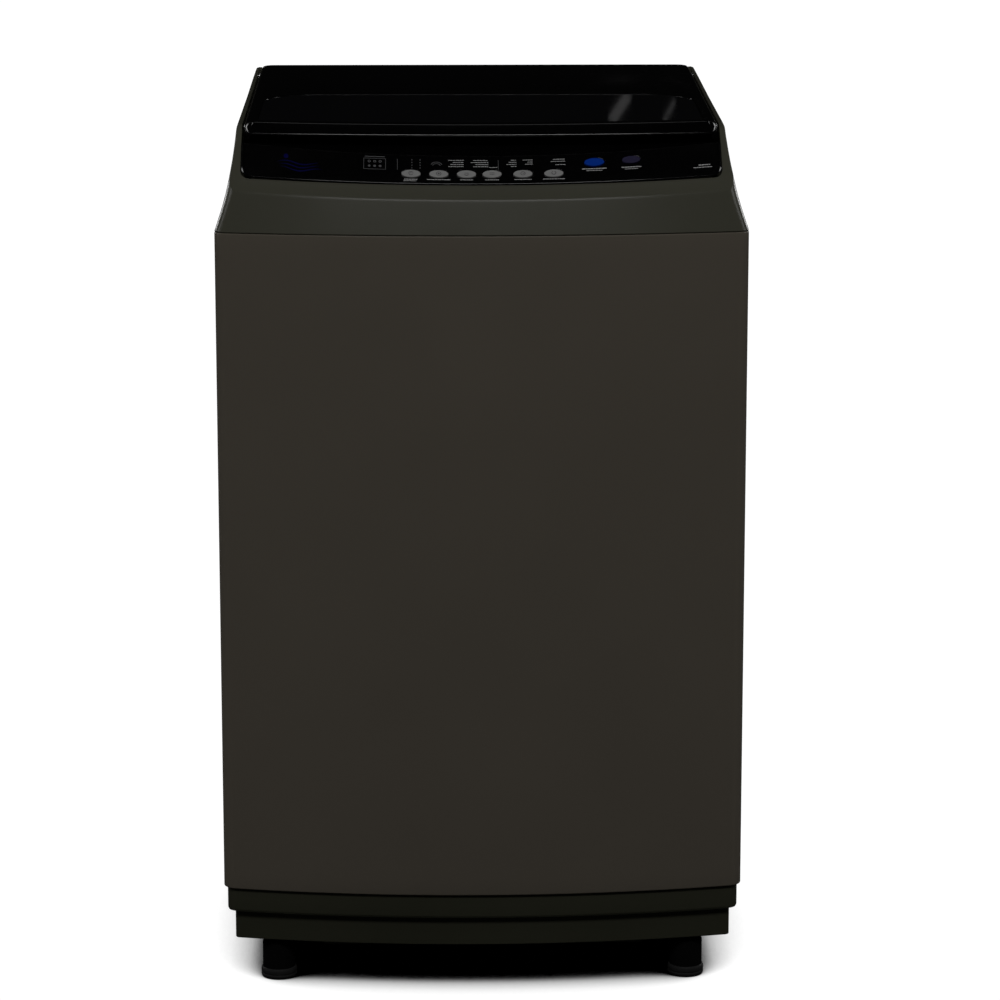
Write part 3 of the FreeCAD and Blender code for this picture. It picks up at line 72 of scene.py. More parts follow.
def joined(parts: list[Surface]) -> Surface:
    """Puts several surfaces in one.

    Args:
        parts: the surfaces, which stay separate shells.
    Returns:
        One surface whose face indices are shifted by the points before them.
    """
    starts = np.cumsum([0] + [len(part.points) for part in parts[:-1]])
    points = np.concatenate([part.points for part in parts])
    quads = np.concatenate([part.quads + start for part, start in zip(parts, starts)])
    tris = np.concatenate([part.tris + start for part, start in zip(parts, starts)])
    return Surface(points, quads, tris)


def grid(points: np.ndarray, loop_u: bool = False, loop_v: bool = False, caps: bool = False) -> Surface:
    """Joins a (nu, nv, 3) array of points into quads.

    Args:
        points: point at each pair of parameters.
        loop_u: the last row of u joins the first.
        loop_v: the last column of v joins the first.
        caps: closes the first and last row of u with a fan to their middle point.
    Returns:
        The surface, with index i * nv + j for the point (i, j).
    """
    nu, nv = points.shape[:2]
    i, j = np.meshgrid(np.arange(nu if loop_u else nu - 1), np.arange(nv if loop_v else nv - 1), indexing="ij")
    ends = [(i, j), (i + 1, j), (i + 1, j + 1), (i, j + 1)]
    quads = np.stack([(a % nu) * nv + b % nv for a, b in ends], -1).reshape(-1, 4)
    flat = points.reshape(-1, 3)
    tris = np.zeros((0, 3), int)
    if caps:
        ring = np.arange(nv)
        following = (ring + 1) % nv
        middle = np.stack([points[0].mean(0), points[-1].mean(0)])
        first = np.stack([ring, following, np.full(nv, nu * nv)], -1)
        last = np.stack([following + (nu - 1) * nv, ring + (nu - 1) * nv, np.full(nv, nu * nv + 1)], -1)
        flat = np.concatenate([flat, middle])
        tris = np.concatenate([first, last])
    return Surface(flat, quads, tris)


def turned(profile: np.ndarray, segments: int, closed: bool = True) -> Surface:
    """Turns (radius, height) points about Z: x = r cos a, y = r sin a, z = h.

    Args:
        profile: (n, 2) points. An open profile starts and ends on the axis.
        segments: steps round the circle.
        closed: the profile is a loop.
    Returns:
        The surface round the Z axis.
    """
    angle = np.linspace(0.0, 2 * np.pi, segments, endpoint=False)[:, None]
    radius, height = profile[None, :, 0], profile[None, :, 1]
    shape = np.broadcast_arrays(radius * np.cos(angle), radius * np.sin(angle), height + 0 * angle)
    return grid(np.stack(shape, -1), loop_u=True, loop_v=closed)


def lying(surface: Surface) -> Surface:
    """Turns a surface from the Z axis to the Y axis: (x, y, z) becomes (x, z, -y)."""
    x, y, z = surface.points.T
    return Surface(np.stack([x, z, -y], -1), surface.quads, surface.tris)


def full_turn(count: int) -> np.ndarray:
    """Angles of one full turn, evenly spaced, the end left out."""
    return np.linspace(0, 2 * np.pi, count, endpoint=False)


def smooth(t: np.ndarray) -> np.ndarray:
    """Smooth step from 0 to 1: 3 t^2 - 2 t^3 with t held between 0 and 1."""
    t = np.clip(t, 0.0, 1.0)
    return t * t * (3 - 2 * t)


def rounded(corners: np.ndarray, radius: np.ndarray, steps: int = 5) -> np.ndarray:
    """Rounds the corners of polylines that run along the second-last axis.

    Each inner corner C with neighbours A and B becomes a quadratic curve from C + r a to C + r b, pulled towards C,
    where a and b are unit steps towards A and B and r is held under half of each run.

    Args:
        corners: (..., n, k) points.
        radius: n sizes, of which the first and last aren't used.
        steps: points that stand for each corner.
    Returns:
        (..., m, k) points.
    """
    count = corners.shape[-2]
    t = np.linspace(0.0, 1.0, steps)[:, None]
    out = [corners[..., :1, :]]
    for i in range(1, count - 1):
        here = corners[..., i:i + 1, :]
        back = corners[..., i - 1:i, :] - here
        ahead = corners[..., i + 1:i + 2, :] - here
        back_run = np.linalg.norm(back, axis=-1, keepdims=True) + 1e-12
        ahead_run = np.linalg.norm(ahead, axis=-1, keepdims=True) + 1e-12
        size = np.minimum(radius[i], 0.48 * np.minimum(back_run, ahead_run))
        start = here + back / back_run * size
        end = here + ahead / ahead_run * size
        out.append((1 - t) ** 2 * start + 2 * t * (1 - t) * here + t ** 2 * end)
    out.append(corners[..., -1:, :])
    return np.concatenate(out, axis=-2)


def rounded_loop(corners: np.ndarray, radius: float, steps: int = 4) -> np.ndarray:
    """Rounds every corner of a closed loop of (n, 2) points."""
    wrapped = np.concatenate([corners[-1:], corners, corners[:1]])
    return rounded(wrapped, np.full(len(wrapped), radius), steps)[1:-1]


def mesh_object(name: str, surface: Surface, finish: "Finish", body: str, replaced: tuple[str, ...] = (),
                sharp: float = 35.0, face_up: bool = False) -> bpy.types.Object:
    """Makes a Blender object of a surface and ties it to the frame.

    Args:
        name: the object's name.
        surface: its shape, in place.
        finish: what it is made of.
        body: the CAD body that it rides on.
        replaced: CAD nodes that it stands for.
        sharp: edges that turn by more degrees than this stay crisp.
        face_up: for an open sheet, turns its faces so that most of their area looks up.
    Returns:
        The object, at the origin.
    """
    mesh = bpy.data.meshes.new(name)
    sizes = np.concatenate([np.full(len(surface.quads), 4), np.full(len(surface.tris), 3)])
    loops = np.concatenate([surface.quads.ravel(), surface.tris.ravel()]).astype(np.int32)
    mesh.vertices.add(len(surface.points))
    mesh.vertices.foreach_set("co", surface.points.astype(np.float32).ravel())
    mesh.loops.add(len(loops))
    mesh.loops.foreach_set("vertex_index", loops)
    mesh.polygons.add(len(sizes))
    mesh.polygons.foreach_set("loop_start", (np.cumsum(sizes) - sizes).astype(np.int32))
    mesh.polygons.foreach_set("loop_total", sizes.astype(np.int32))
    mesh.update(calc_edges=True)
    work = bmesh.new()
    work.from_mesh(mesh)
    bmesh.ops.remove_doubles(work, verts=work.verts, dist=2e-6)
    bmesh.ops.dissolve_degenerate(work, dist=1e-7, edges=work.edges)
    bmesh.ops.recalc_face_normals(work, faces=work.faces)
    if face_up and sum(face.calc_area() * face.normal.z for face in work.faces) < 0:
        bmesh.ops.reverse_faces(work, faces=work.faces)
    work.to_mesh(mesh)
    work.free()
    mesh.polygons.foreach_set("use_smooth", np.ones(len(mesh.polygons), bool))
    mesh.set_sharp_from_angle(angle=math.radians(sharp))
    mesh.materials.append(finish.material())
    piece = bpy.data.objects.new(name, mesh)
    bpy.context.scene.collection.objects.link(piece)
    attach(piece, body)
    if replaced:
        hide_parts(*replaced)
    log.info("%s: %d faces on %s", name, len(mesh.polygons), body)
    return piece


def thicken(piece: bpy.types.Object, wall: float) -> None:
    """Gives an open sheet a wall on its inner side.

    Args:
        piece: the sheet.
        wall: its thickness in metres.
    """
    solid = piece.modifiers.new("wall", "SOLIDIFY")
    solid.thickness = wall
    solid.offset = -1.0
    solid.use_even_offset = False


# ---- shader groups --------------------------------------------------------------------------------------------
class Wiring:
    """A node tree that is filled by short calls."""

    def __init__(self, tree: bpy.types.NodeTree) -> None:
        """Keeps the tree."""
        self.tree = tree

    def add(self, kind: str, inputs: dict | None = None, **settings: object) -> bpy.types.Node:
        """Adds a node.

        Args:
            kind: the node's type name.
            inputs: values or sockets for its inputs, by name or number.
            settings: attributes of the node.
        Returns:
            The node.
        """
        node = self.tree.nodes.new(kind)
        for name, value in settings.items():
            setattr(node, name, value)
        for key, value in (inputs or {}).items():
            if isinstance(value, bpy.types.NodeSocket):
                self.tree.links.new(value, node.inputs[key])
            else:
                node.inputs[key].default_value = value
        return node

    def maths(self, operation: str, *values: object) -> bpy.types.NodeSocket:
        """A Math node of that operation on its values.

        Returns:
            Its result.
        """
        return self.add("ShaderNodeMath", dict(enumerate(values)), operation=operation).outputs[0]

    def spread(self, value: object, low: float, high: float, to_low: object, to_high: object) -> bpy.types.NodeSocket:
        """Maps a value from low..high to to_low..to_high, held at both ends.

        Returns:
            The mapped value.
        """
        node = self.add("ShaderNodeMapRange", {0: value, 1: low, 2: high, 3: to_low, 4: to_high})
        return node.outputs[0]


class GroupKind(Enum):
    """The effects that materials share."""

    GRAIN = "surface_grain"
    HANDLING = "handling_marks"
    BRUSH = "brushed_metal"
    SPANGLE = "zinc_spangle"
    HOLES = "drum_holes"


def new_group(kind: GroupKind, inputs: dict[str, float], outputs: tuple[str, ...]) -> tuple[Wiring, object, object]:
    """Starts a shader group with float sockets.

    Args:
        kind: which effect it holds.
        inputs: names and default values.
        outputs: names.
    Returns:
        Its wiring, its input node and its output node.
    """
    tree = bpy.data.node_groups.new(kind.value, "ShaderNodeTree")
    for name, value in inputs.items():
        socket = tree.interface.new_socket(name, in_out="INPUT", socket_type="NodeSocketFloat")
        socket.default_value = value
    for name in outputs:
        tree.interface.new_socket(name, in_out="OUTPUT", socket_type="NodeSocketFloat")
    return Wiring(tree), tree.nodes.new("NodeGroupInput"), tree.nodes.new("NodeGroupOutput")


def build_grain() -> None:
    """Two sizes of noise: Height is fine relief, Shade is a slow change of tone, both 0 to 1."""
    wiring, given, out = new_group(GroupKind.GRAIN, {"Scale": 900.0, "Slow": 6.0}, ("Height", "Shade"))
    place = wiring.add("ShaderNodeTexCoord").outputs["Object"]
    fine = wiring.add("ShaderNodeTexNoise", {"Vector": place, "Scale": given.outputs["Scale"], "Detail": 3.0})
    slow = wiring.add("ShaderNodeTexNoise", {"Vector": place, "Scale": given.outputs["Slow"], "Detail": 4.0})
    wiring.tree.links.new(fine.outputs[0], out.inputs["Height"])
    wiring.tree.links.new(slow.outputs[0], out.inputs["Shade"])


def build_handling() -> None:
    """Faint wiped smears and dust: Smear and Dust are masks from 0 to 1. Dust lies on faces that look up."""
    wiring, given, out = new_group(GroupKind.HANDLING, {"Scale": 9.0}, ("Smear", "Dust"))
    coordinates = wiring.add("ShaderNodeTexCoord")
    turned_place = wiring.add("ShaderNodeMapping", {"Vector": coordinates.outputs["Object"]})
    turned_place.inputs["Rotation"].default_value = (0.3, 0.5, 0.6)
    turned_place.inputs["Scale"].default_value = (1.0, 5.0, 1.0)
    smear = wiring.add("ShaderNodeTexNoise", {"Vector": turned_place.outputs[0], "Scale": given.outputs["Scale"],
                                              "Detail": 6.0})
    speck = wiring.add("ShaderNodeTexNoise", {"Vector": coordinates.outputs["Object"], "Scale": 420.0, "Detail": 2.0})
    normal = wiring.add("ShaderNodeSeparateXYZ", {0: coordinates.outputs["Normal"]})
    up = wiring.spread(normal.outputs["Z"], 0.3, 1.0, 0.0, 1.0)
    grains = wiring.spread(speck.outputs[0], 0.55, 0.75, 0.0, 1.0)
    wiring.tree.links.new(wiring.spread(smear.outputs[0], 0.48, 0.72, 0.0, 1.0), out.inputs["Smear"])
    wiring.tree.links.new(wiring.maths("MULTIPLY", up, grains), out.inputs["Dust"])


def build_brush() -> None:
    """Brushed lines round or along a part: noise stretched by 60 along Z and by 1 across."""
    wiring, given, out = new_group(GroupKind.BRUSH, {"Scale": 40.0}, ("Line",))
    place = wiring.add("ShaderNodeTexCoord").outputs["Object"]
    stretched = wiring.add("ShaderNodeMapping", {"Vector": place})
    stretched.inputs["Scale"].default_value = (1.0, 1.0, 60.0)
    lines = wiring.add("ShaderNodeTexNoise", {"Vector": stretched.outputs[0], "Scale": given.outputs["Scale"],
                                              "Detail": 5.0})
    wiring.tree.links.new(lines.outputs[0], out.inputs["Line"])


def build_spangle() -> None:
    """Zinc crystals: each Voronoi cell has its own tone from 0 to 1."""
    wiring, given, out = new_group(GroupKind.SPANGLE, {"Scale": 120.0}, ("Tone",))
    place = wiring.add("ShaderNodeTexCoord").outputs["Object"]
    cells = wiring.add("ShaderNodeTexVoronoi", {"Vector": place, "Scale": given.outputs["Scale"]})
    tone = wiring.add("ShaderNodeSeparateColor", {0: cells.outputs["Color"]})
    wiring.tree.links.new(tone.outputs[0], out.inputs["Tone"])


def build_holes() -> None:
    """Drum holes: a mask that is 0 inside round holes on a staggered pitch round the wash axis, and 1 elsewhere."""
    inputs = {"Pitch": 0.0125, "Hole": 0.0017, "Radius": 0.244, "Axis Y": -0.0075}
    wiring, given, out = new_group(GroupKind.HOLES, inputs, ("Metal",))
    place = wiring.add("ShaderNodeSeparateXYZ", {0: wiring.add("ShaderNodeTexCoord").outputs["Object"]})
    from_axis = wiring.maths("SUBTRACT", place.outputs["Y"], given.outputs["Axis Y"])
    angle = wiring.maths("ARCTAN2", from_axis, place.outputs["X"])
    along = wiring.maths("DIVIDE", wiring.maths("MULTIPLY", angle, given.outputs["Radius"]), given.outputs["Pitch"])
    level = wiring.maths("DIVIDE", place.outputs["Z"], given.outputs["Pitch"])
    row = wiring.maths("FLOOR", level)
    shifted = wiring.maths("ADD", along, wiring.maths("MULTIPLY", row, 0.5))
    across = wiring.maths("SUBTRACT", wiring.maths("FRACT", shifted), 0.5)
    upward = wiring.maths("SUBTRACT", wiring.maths("FRACT", level), 0.5)
    squares = wiring.maths("ADD", wiring.maths("MULTIPLY", across, across), wiring.maths("MULTIPLY", upward, upward))
    away = wiring.maths("MULTIPLY", wiring.maths("SQRT", squares), given.outputs["Pitch"])
    outside = wiring.maths("GREATER_THAN", away, given.outputs["Hole"])
    ring = wiring.maths("SQRT", wiring.maths("ADD", wiring.maths("MULTIPLY", from_axis, from_axis),
                                             wiring.maths("MULTIPLY", place.outputs["X"], place.outputs["X"])))
    inside_wall = wiring.maths("LESS_THAN", ring, wiring.maths("SUBTRACT", given.outputs["Radius"], 0.014))
    wiring.tree.links.new(wiring.maths("MAXIMUM", outside, inside_wall), out.inputs["Metal"])


def build_groups() -> None:
    """Builds each shared effect once."""
    for build in (build_grain, build_handling, build_brush, build_spangle, build_holes):
        build()


# ---- finishes -------------------------------------------------------------------------------------------------
class Pattern(Enum):
    """What a finish carries besides its grain."""

    PLAIN = "plain"
    BRUSHED = "brushed"
    SPANGLED = "spangled"
    DRILLED = "drilled"


@dataclass(frozen=True)
class Finish:
    """One material: its tone, gloss, relief and how far each of them wanders."""

    name: str
    tone: tuple[float, float, float]
    rough: float = 0.45
    metal: float = 0.0
    grain: float = 900.0
    relief: float = 0.02
    relief_size: float = 0.0004
    shade: float = 0.06
    smear: float = 0.05
    dust: float = 0.02
    coat: float = 0.0
    coat_rough: float = 0.1
    ior: float = 1.5
    clear: float = 0.0
    pattern: Pattern = Pattern.PLAIN

    def material(self) -> bpy.types.Material:
        """Builds the material, or finds it if it is built.

        Returns:
            The material.
        """
        own_name = f"finish_{self.name}"
        known = bpy.data.materials.get(own_name)
        if known:
            return known
        material = bpy.data.materials.new(own_name)
        material.use_nodes = True
        wiring = Wiring(material.node_tree)
        shader = material.node_tree.nodes["Principled BSDF"]
        shader.inputs["Metallic"].default_value = self.metal
        shader.inputs["IOR"].default_value = self.ior
        shader.inputs["Coat Weight"].default_value = self.coat
        shader.inputs["Coat Roughness"].default_value = self.coat_rough
        shader.inputs["Transmission Weight"].default_value = self.clear
        grain = self._group(wiring, GroupKind.GRAIN, {"Scale": self.grain})
        marks = self._group(wiring, GroupKind.HANDLING, {})
        shade = grain.outputs["Shade"]
        height = grain.outputs["Height"]
        if self.pattern is Pattern.SPANGLED:
            shade = self._group(wiring, GroupKind.SPANGLE, {}).outputs["Tone"]
        if self.pattern in (Pattern.BRUSHED, Pattern.DRILLED):
            height = self._group(wiring, GroupKind.BRUSH, {}).outputs["Line"]
        if self.pattern is Pattern.DRILLED:
            metal = self._group(wiring, GroupKind.HOLES, {}).outputs["Metal"]
            wiring.tree.links.new(metal, shader.inputs["Alpha"])
        self._colour(wiring, shader, shade, marks.outputs["Dust"])
        self._gloss(wiring, shader, height, marks.outputs["Smear"])
        bump = wiring.add("ShaderNodeBump", {"Strength": self.relief, "Distance": self.relief_size, "Height": height})
        wiring.tree.links.new(bump.outputs[0], shader.inputs["Normal"])
        return material

    def _group(self, wiring: Wiring, kind: GroupKind, inputs: dict[str, float]) -> bpy.types.Node:
        """Places a shared effect in this material.

        Returns:
            The group's node.
        """
        node = wiring.add("ShaderNodeGroup", node_tree=bpy.data.node_groups[kind.value])
        for name, value in inputs.items():
            node.inputs[name].default_value = value
        return node

    def _colour(self, wiring: Wiring, shader: bpy.types.Node, shade: bpy.types.NodeSocket,
                dust: bpy.types.NodeSocket) -> None:
        """Base Color: the tone lightened and darkened by the shade, with a little grey dust over it."""
        low = tuple(c * (1 - self.shade) for c in self.tone) + (1.0,)
        high = tuple(min(c * (1 + self.shade), 1.0) for c in self.tone) + (1.0,)
        tone = wiring.add("ShaderNodeMix", data_type="RGBA")
        wiring.tree.links.new(wiring.spread(shade, 0.3, 0.7, 0.0, 1.0), tone.inputs[0])
        tone.inputs[6].default_value = low
        tone.inputs[7].default_value = high
        dusty = wiring.add("ShaderNodeMix", data_type="RGBA")
        wiring.tree.links.new(wiring.maths("MULTIPLY", dust, self.dust), dusty.inputs[0])
        wiring.tree.links.new(tone.outputs[2], dusty.inputs[6])
        dusty.inputs[7].default_value = (0.42, 0.40, 0.37, 1.0)
        wiring.tree.links.new(dusty.outputs[2], shader.inputs["Base Color"])

    def _gloss(self, wiring: Wiring, shader: bpy.types.Node, height: bpy.types.NodeSocket,
               smear: bpy.types.NodeSocket) -> None:
        """Roughness: the finish's own, moved by its fine relief and by wiped smears."""
        fine = wiring.spread(height, 0.3, 0.7, self.rough * 0.88, self.rough * 1.12)
        smeared = wiring.maths("MULTIPLY", smear, self.smear)
        wiring.tree.links.new(wiring.maths("ADD", fine, smeared), shader.inputs["Roughness"])


BODY_PAINT = Finish("body_paint", (0.0840, 0.0740, 0.0590), rough=0.20, grain=1500, relief=0.05, relief_size=0.0003,
                    shade=0.03, smear=0.03, dust=0.0, ior=1.15)
COVER_PAINT = Finish("cover_paint", (0.0470, 0.0466, 0.0352), rough=0.20, grain=1300, relief=0.04,
                     relief_size=0.0003, shade=0.03, smear=0.03, dust=0.003, ior=1.17)
BASE_PLASTIC = Finish("base_plastic", (0.0260, 0.0265, 0.0180), rough=0.4, grain=2200, relief=0.25,
                      relief_size=0.0002, shade=0.08, dust=0.02, ior=1.10)
BLACK_GLOSS = Finish("black_gloss", (0.0007, 0.0007, 0.0008), rough=0.15, grain=260, relief=0.004,
                     shade=0.04, smear=0.035, dust=0.0015, ior=1.42)
SMOKED_GLASS = Finish("smoked_glass", (0.006, 0.006, 0.007), rough=0.03, relief=0.001, shade=0.02, smear=0.01,
                      dust=0.001, clear=0.45, ior=1.45)
SILVER = Finish("button_silver", (0.190, 0.190, 0.188), rough=0.3, grain=2600, relief=0.03, shade=0.03, ior=1.08)
BLUE = Finish("button_blue", (0.0020, 0.025, 0.205), rough=0.3, grain=2600, relief=0.02, shade=0.05, ior=1.03)
VIOLET = Finish("button_violet", (0.0190, 0.0170, 0.0380), rough=0.3, grain=2600, relief=0.02, shade=0.05, ior=1.03)
RUBBER = Finish("foot_rubber", (0.0030, 0.0030, 0.0030), rough=0.5, grain=1800, relief=0.3, relief_size=0.0003,
                dust=0.02, ior=1.04)
PAD_RUBBER = Finish("pad_rubber", (0.014, 0.014, 0.014), rough=0.5, grain=1800, relief=0.3, relief_size=0.0003,
                    dust=0.02, ior=1.10)
ZINC = Finish("zinc_sheet", (0.52, 0.53, 0.53), rough=0.38, metal=1.0, relief=0.03, shade=0.12,
              pattern=Pattern.SPANGLED)
STAINLESS = Finish("stainless_drum", (0.60, 0.60, 0.61), rough=0.27, metal=1.0, relief=0.10, relief_size=0.0002,
                   shade=0.03, pattern=Pattern.DRILLED)
STEEL = Finish("turned_steel", (0.50, 0.50, 0.51), rough=0.3, metal=1.0, relief=0.08, shade=0.04,
               pattern=Pattern.BRUSHED)
ALLOY = Finish("cast_alloy", (0.42, 0.43, 0.44), rough=0.5, metal=0.9, grain=700, relief=0.35, relief_size=0.0005)
IRON = Finish("motor_iron", (0.030, 0.030, 0.032), rough=0.5, metal=0.3, grain=900, relief=0.2)
WHITE_PLASTIC = Finish("white_plastic", (0.62, 0.63, 0.62), rough=0.45, grain=1500, relief=0.08, shade=0.04)
GREY_PLASTIC = Finish("grey_plastic", (0.27, 0.285, 0.295), rough=0.42, grain=1500, relief=0.10, shade=0.04)
PULSATOR_PLASTIC = Finish("pulsator_plastic", (0.45, 0.47, 0.49), rough=0.22, grain=1200, relief=0.03, shade=0.03)
BELT = Finish("belt_rubber", (0.010, 0.010, 0.010), rough=0.75, grain=1400, relief=0.4, relief_size=0.0004)
HOSE = Finish("hose_rubber", (0.10, 0.105, 0.105), rough=0.6, grain=900, relief=0.2)
BOARD = Finish("circuit_board", (0.008, 0.05, 0.014), rough=0.35, grain=600, relief=0.2)
LENS = Finish("light_pipe", (0.45, 0.45, 0.50), rough=0.2, grain=900, relief=0.02, clear=0.3)
SCREW = Finish("screw_zinc", (0.40, 0.40, 0.41), rough=0.28, metal=1.0, relief=0.05, pattern=Pattern.BRUSHED)
PRINT_WHITE = Finish("print_white", (0.30, 0.30, 0.30), rough=0.5, grain=2200, relief=0.02, shade=0.10, ior=1.1)
PRINT_GREY = Finish("print_grey", (0.070, 0.070, 0.073), rough=0.5, grain=2200, relief=0.02, shade=0.10, ior=1.1)
PRINT_DARK = Finish("print_dark", (0.020, 0.020, 0.022), rough=0.6, grain=2200, relief=0.02, shade=0.10)
PRINT_BLUE = Finish("print_blue", (0.0020, 0.0020, 0.034), rough=0.5, grain=2200, relief=0.02, shade=0.25, ior=1.03)

CAD_FINISHES = {
    "cabinet_shell": BODY_PAINT, "rear_panel": ZINC, "base_plinth": BASE_PLASTIC, "bottom_cover": BASE_PLASTIC,
    "top_cover": COVER_PAINT, "control_panel": BLACK_GLOSS, "control_board": BOARD, "indicator_leds": LENS,
    "inlet_valve": WHITE_PLASTIC, "inlet_hose": BELT, "dispenser_housing": GREY_PLASTIC,
    "detergent_drawer": GREY_PLASTIC, "drain_outlet": GREY_PLASTIC, "drain_hose": HOSE, "cord_gland": BELT,
    "pressure_sensor": GREY_PLASTIC, "lid_switch": WHITE_PLASTIC, "cover_screws": SCREW,
    "hinge_bushes": GREY_PLASTIC, "hanger_brackets": ZINC, "suspension_rods": STEEL, "suspension_springs": STEEL,
    "outer_tub": WHITE_PLASTIC, "tub_ring": GREY_PLASTIC, "mounting_plate": ZINC, "gear_case": ALLOY,
    "bearings": STEEL, "shaft_seal": BELT, "motor_body": IRON, "drive_belt": BELT, "drain_valve": WHITE_PLASTIC,
    "drain_actuator": WHITE_PLASTIC, "spin_basket": STAINLESS, "balance_ring": GREY_PLASTIC, "basket_hub": ALLOY,
    "spin_shaft": STEEL, "lint_filter": GREY_PLASTIC, "pulsator": PULSATOR_PLASTIC, "pulsator_shaft": STEEL,
    "pulsator_screw": SCREW, "drive_pulley": ALLOY, "motor_shaft": STEEL, "motor_pulley": ALLOY,
    "lid_frame": BLACK_GLOSS, "lid_glass": SMOKED_GLASS, "lid_pins": STEEL, "lid_buffers": BELT,
    "drain_plunger": WHITE_PLASTIC, "clutch_lever": ZINC, "front_foot_left": RUBBER, "front_foot_right": RUBBER,
    "rear_feet": RUBBER, "button_blue": BLUE, "button_violet": VIOLET,
}


def dress_frame() -> None:
    """Gives every CAD node its finish; those that a piece replaces keep it unseen."""
    for name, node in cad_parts.items():
        finish = CAD_FINISHES.get(name, SILVER)
        node.data.materials.clear()
        node.data.materials.append(finish.material())


# ---- the machine's lines --------------------------------------------------------------------------------------
@dataclass
class Lines:
    """Character lines that neighbouring sub-assemblies share, in metres."""

    bow: float = 1.300
    front_corner: float = 0.0175
    rear_corner: float = 0.014
    foot: tuple[float, float] = (0.0333, 0.0533)
    head: tuple[float, float] = (0.0630, 0.0808)
    corner_setback: float = 0.033
    corner_rise: float = 0.007
    smile: float = 0.0135
    chamfer: tuple[float, float] = (0.033, 0.0522)
    chamfer_slope: float = 0.695
    rail_knee: tuple[float, float] = (0.080, 0.094)
    rail_drop: float = 0.004
    lid_front: tuple[float, float] = (0.087, 0.102)
    lid_knee: tuple[float, float] = (0.100, 0.1124)
    lid_back: tuple[float, float] = (0.590, 0.138)
    lid_bow: float = 0.0257
    step_setback: float = 0.112
    deck: tuple[float, float] = (0.084, 0.104)
    rear_wall: float = 0.108
    wash_y: float = -0.0075

    def __post_init__(self) -> None:
        """Reads the driving levels from the frame."""
        low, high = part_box("cabinet_shell")
        self.half, self.front, self.rear = high.x, low.y, high.y
        self.bottom, self.joint = low.z, high.z
        self.base_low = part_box("base_plinth")[0].z
        self.reach = self.half - 0.015
        self.pocket = self.half - 0.0285
        self.lid_half = self.pocket - 0.0025

    def q(self, x: np.ndarray) -> np.ndarray:
        """0 in the middle of the front and 1 at its corners: (x / reach)^2."""
        return (x / self.reach) ** 2

    def lid_rise(self, setback: np.ndarray) -> np.ndarray:
        """Rise of the lid's face: a straight line from its knee to its back edge."""
        (d0, h0), (d1, h1) = self.lid_knee, self.lid_back
        return h0 + (h1 - h0) * (setback - d0) / (d1 - d0)

    def deck_rise(self, setback: np.ndarray) -> np.ndarray:
        """Rise of the deck under the lid: a straight line from the step to the rear wall."""
        share = (setback - self.step_setback) / (self.rear - self.front - self.step_setback)
        return self.deck[0] + (self.deck[1] - self.deck[0]) * share

    def cover_rise(self, x: np.ndarray, setback: np.ndarray) -> np.ndarray:
        """Rise of the cover's top face: front chamfer, then panel slope, then the rails beside the lid.

        The three straight stretches are tied by a smooth minimum of the last two, 4 mm wide.
        """
        q = self.q(x)
        d, h = self.chamfer[0] + self.corner_setback * q, self.chamfer[1] + self.corner_rise * q
        steep = (self.rail_knee[1] - self.chamfer[1]) / (self.rail_knee[0] - self.chamfer[0])
        low = h + self.chamfer_slope * (setback - d)
        middle = h + steep * (setback - d)
        flat = self.lid_rise(setback) - self.rail_drop
        k = 0.004
        blend = np.clip(0.5 + 0.5 * (flat - middle) / k, 0, 1)
        top = flat * (1 - blend) + middle * blend - k * blend * (1 - blend)
        return np.where(setback < d, low, top)


LINES = Lines()


def plan(half: object, front: object, rear: object, bow: object, fc: object, rc: object,
         counts: tuple[int, int, int, int, int] = (10, 6, 40, 12, 36)) -> np.ndarray:
    """Plan outline of the machine from the middle of its back, down its right side, to the middle of its front.

    The front is an arc of radius bow, tangent to corner arcs of radius fc, tangent to straight sides; the rear
    corners are arcs of radius rc. Points along the back draw closer together towards its corners, as a sine. Every
    size may be an array, which adds a second axis.

    Args:
        half: half width.
        front: y of the middle of the front.
        rear: y of the back.
        bow: radius of the bowed front.
        fc: radius of the front corners.
        rc: radius of the rear corners.
        counts: points on the back, rear corner, side, front corner and front.
    Returns:
        (n, m, 2) points, or (n, 2) for plain numbers.
    """
    half, front, rear, bow, fc, rc = np.broadcast_arrays(*[np.atleast_1d(np.asarray(v, float))[None, :]
                                                           for v in (half, front, rear, bow, fc, rc)])
    t = [np.linspace(0, 1, n, endpoint=False)[:, None] for n in counts]
    t[0] = np.sin(np.pi / 2 * t[0])
    cx = half - fc
    cy = front + bow - np.sqrt((bow - fc) ** 2 - cx ** 2)
    tx = cx * bow / (bow - fc)
    ty = front + bow + (cy - front - bow) * bow / (bow - fc)
    lean = np.arctan2(ty - cy, tx - cx)
    rx, ry = half - rc, rear - rc
    turn = np.pi / 2 * (1 - t[1])
    sweep = lean * t[3]
    swing = np.arcsin(tx / bow) * (1 - np.append(t[4][:, 0], 1.0)[:, None])
    parts = [
        np.stack([rx * t[0], rear + 0 * t[0]], -1),
        np.stack([rx + rc * np.cos(turn), ry + rc * np.sin(turn)], -1),
        np.stack([half + 0 * t[2], ry + (cy - ry) * t[2]], -1),
        np.stack([cx + fc * np.cos(sweep), cy + fc * np.sin(sweep)], -1),
        np.stack([bow * np.sin(swing), front + bow - bow * np.cos(swing)], -1),
    ]
    outline = np.concatenate(parts)
    return outline[:, 0] if outline.shape[1] == 1 else outline


def mirrored(points: np.ndarray) -> np.ndarray:
    """Adds the left half to points that run from the back to the front of the right half, as a closed ring."""
    left = points[-2:0:-1].copy()
    left[..., 0] *= -1
    return np.concatenate([points, left])


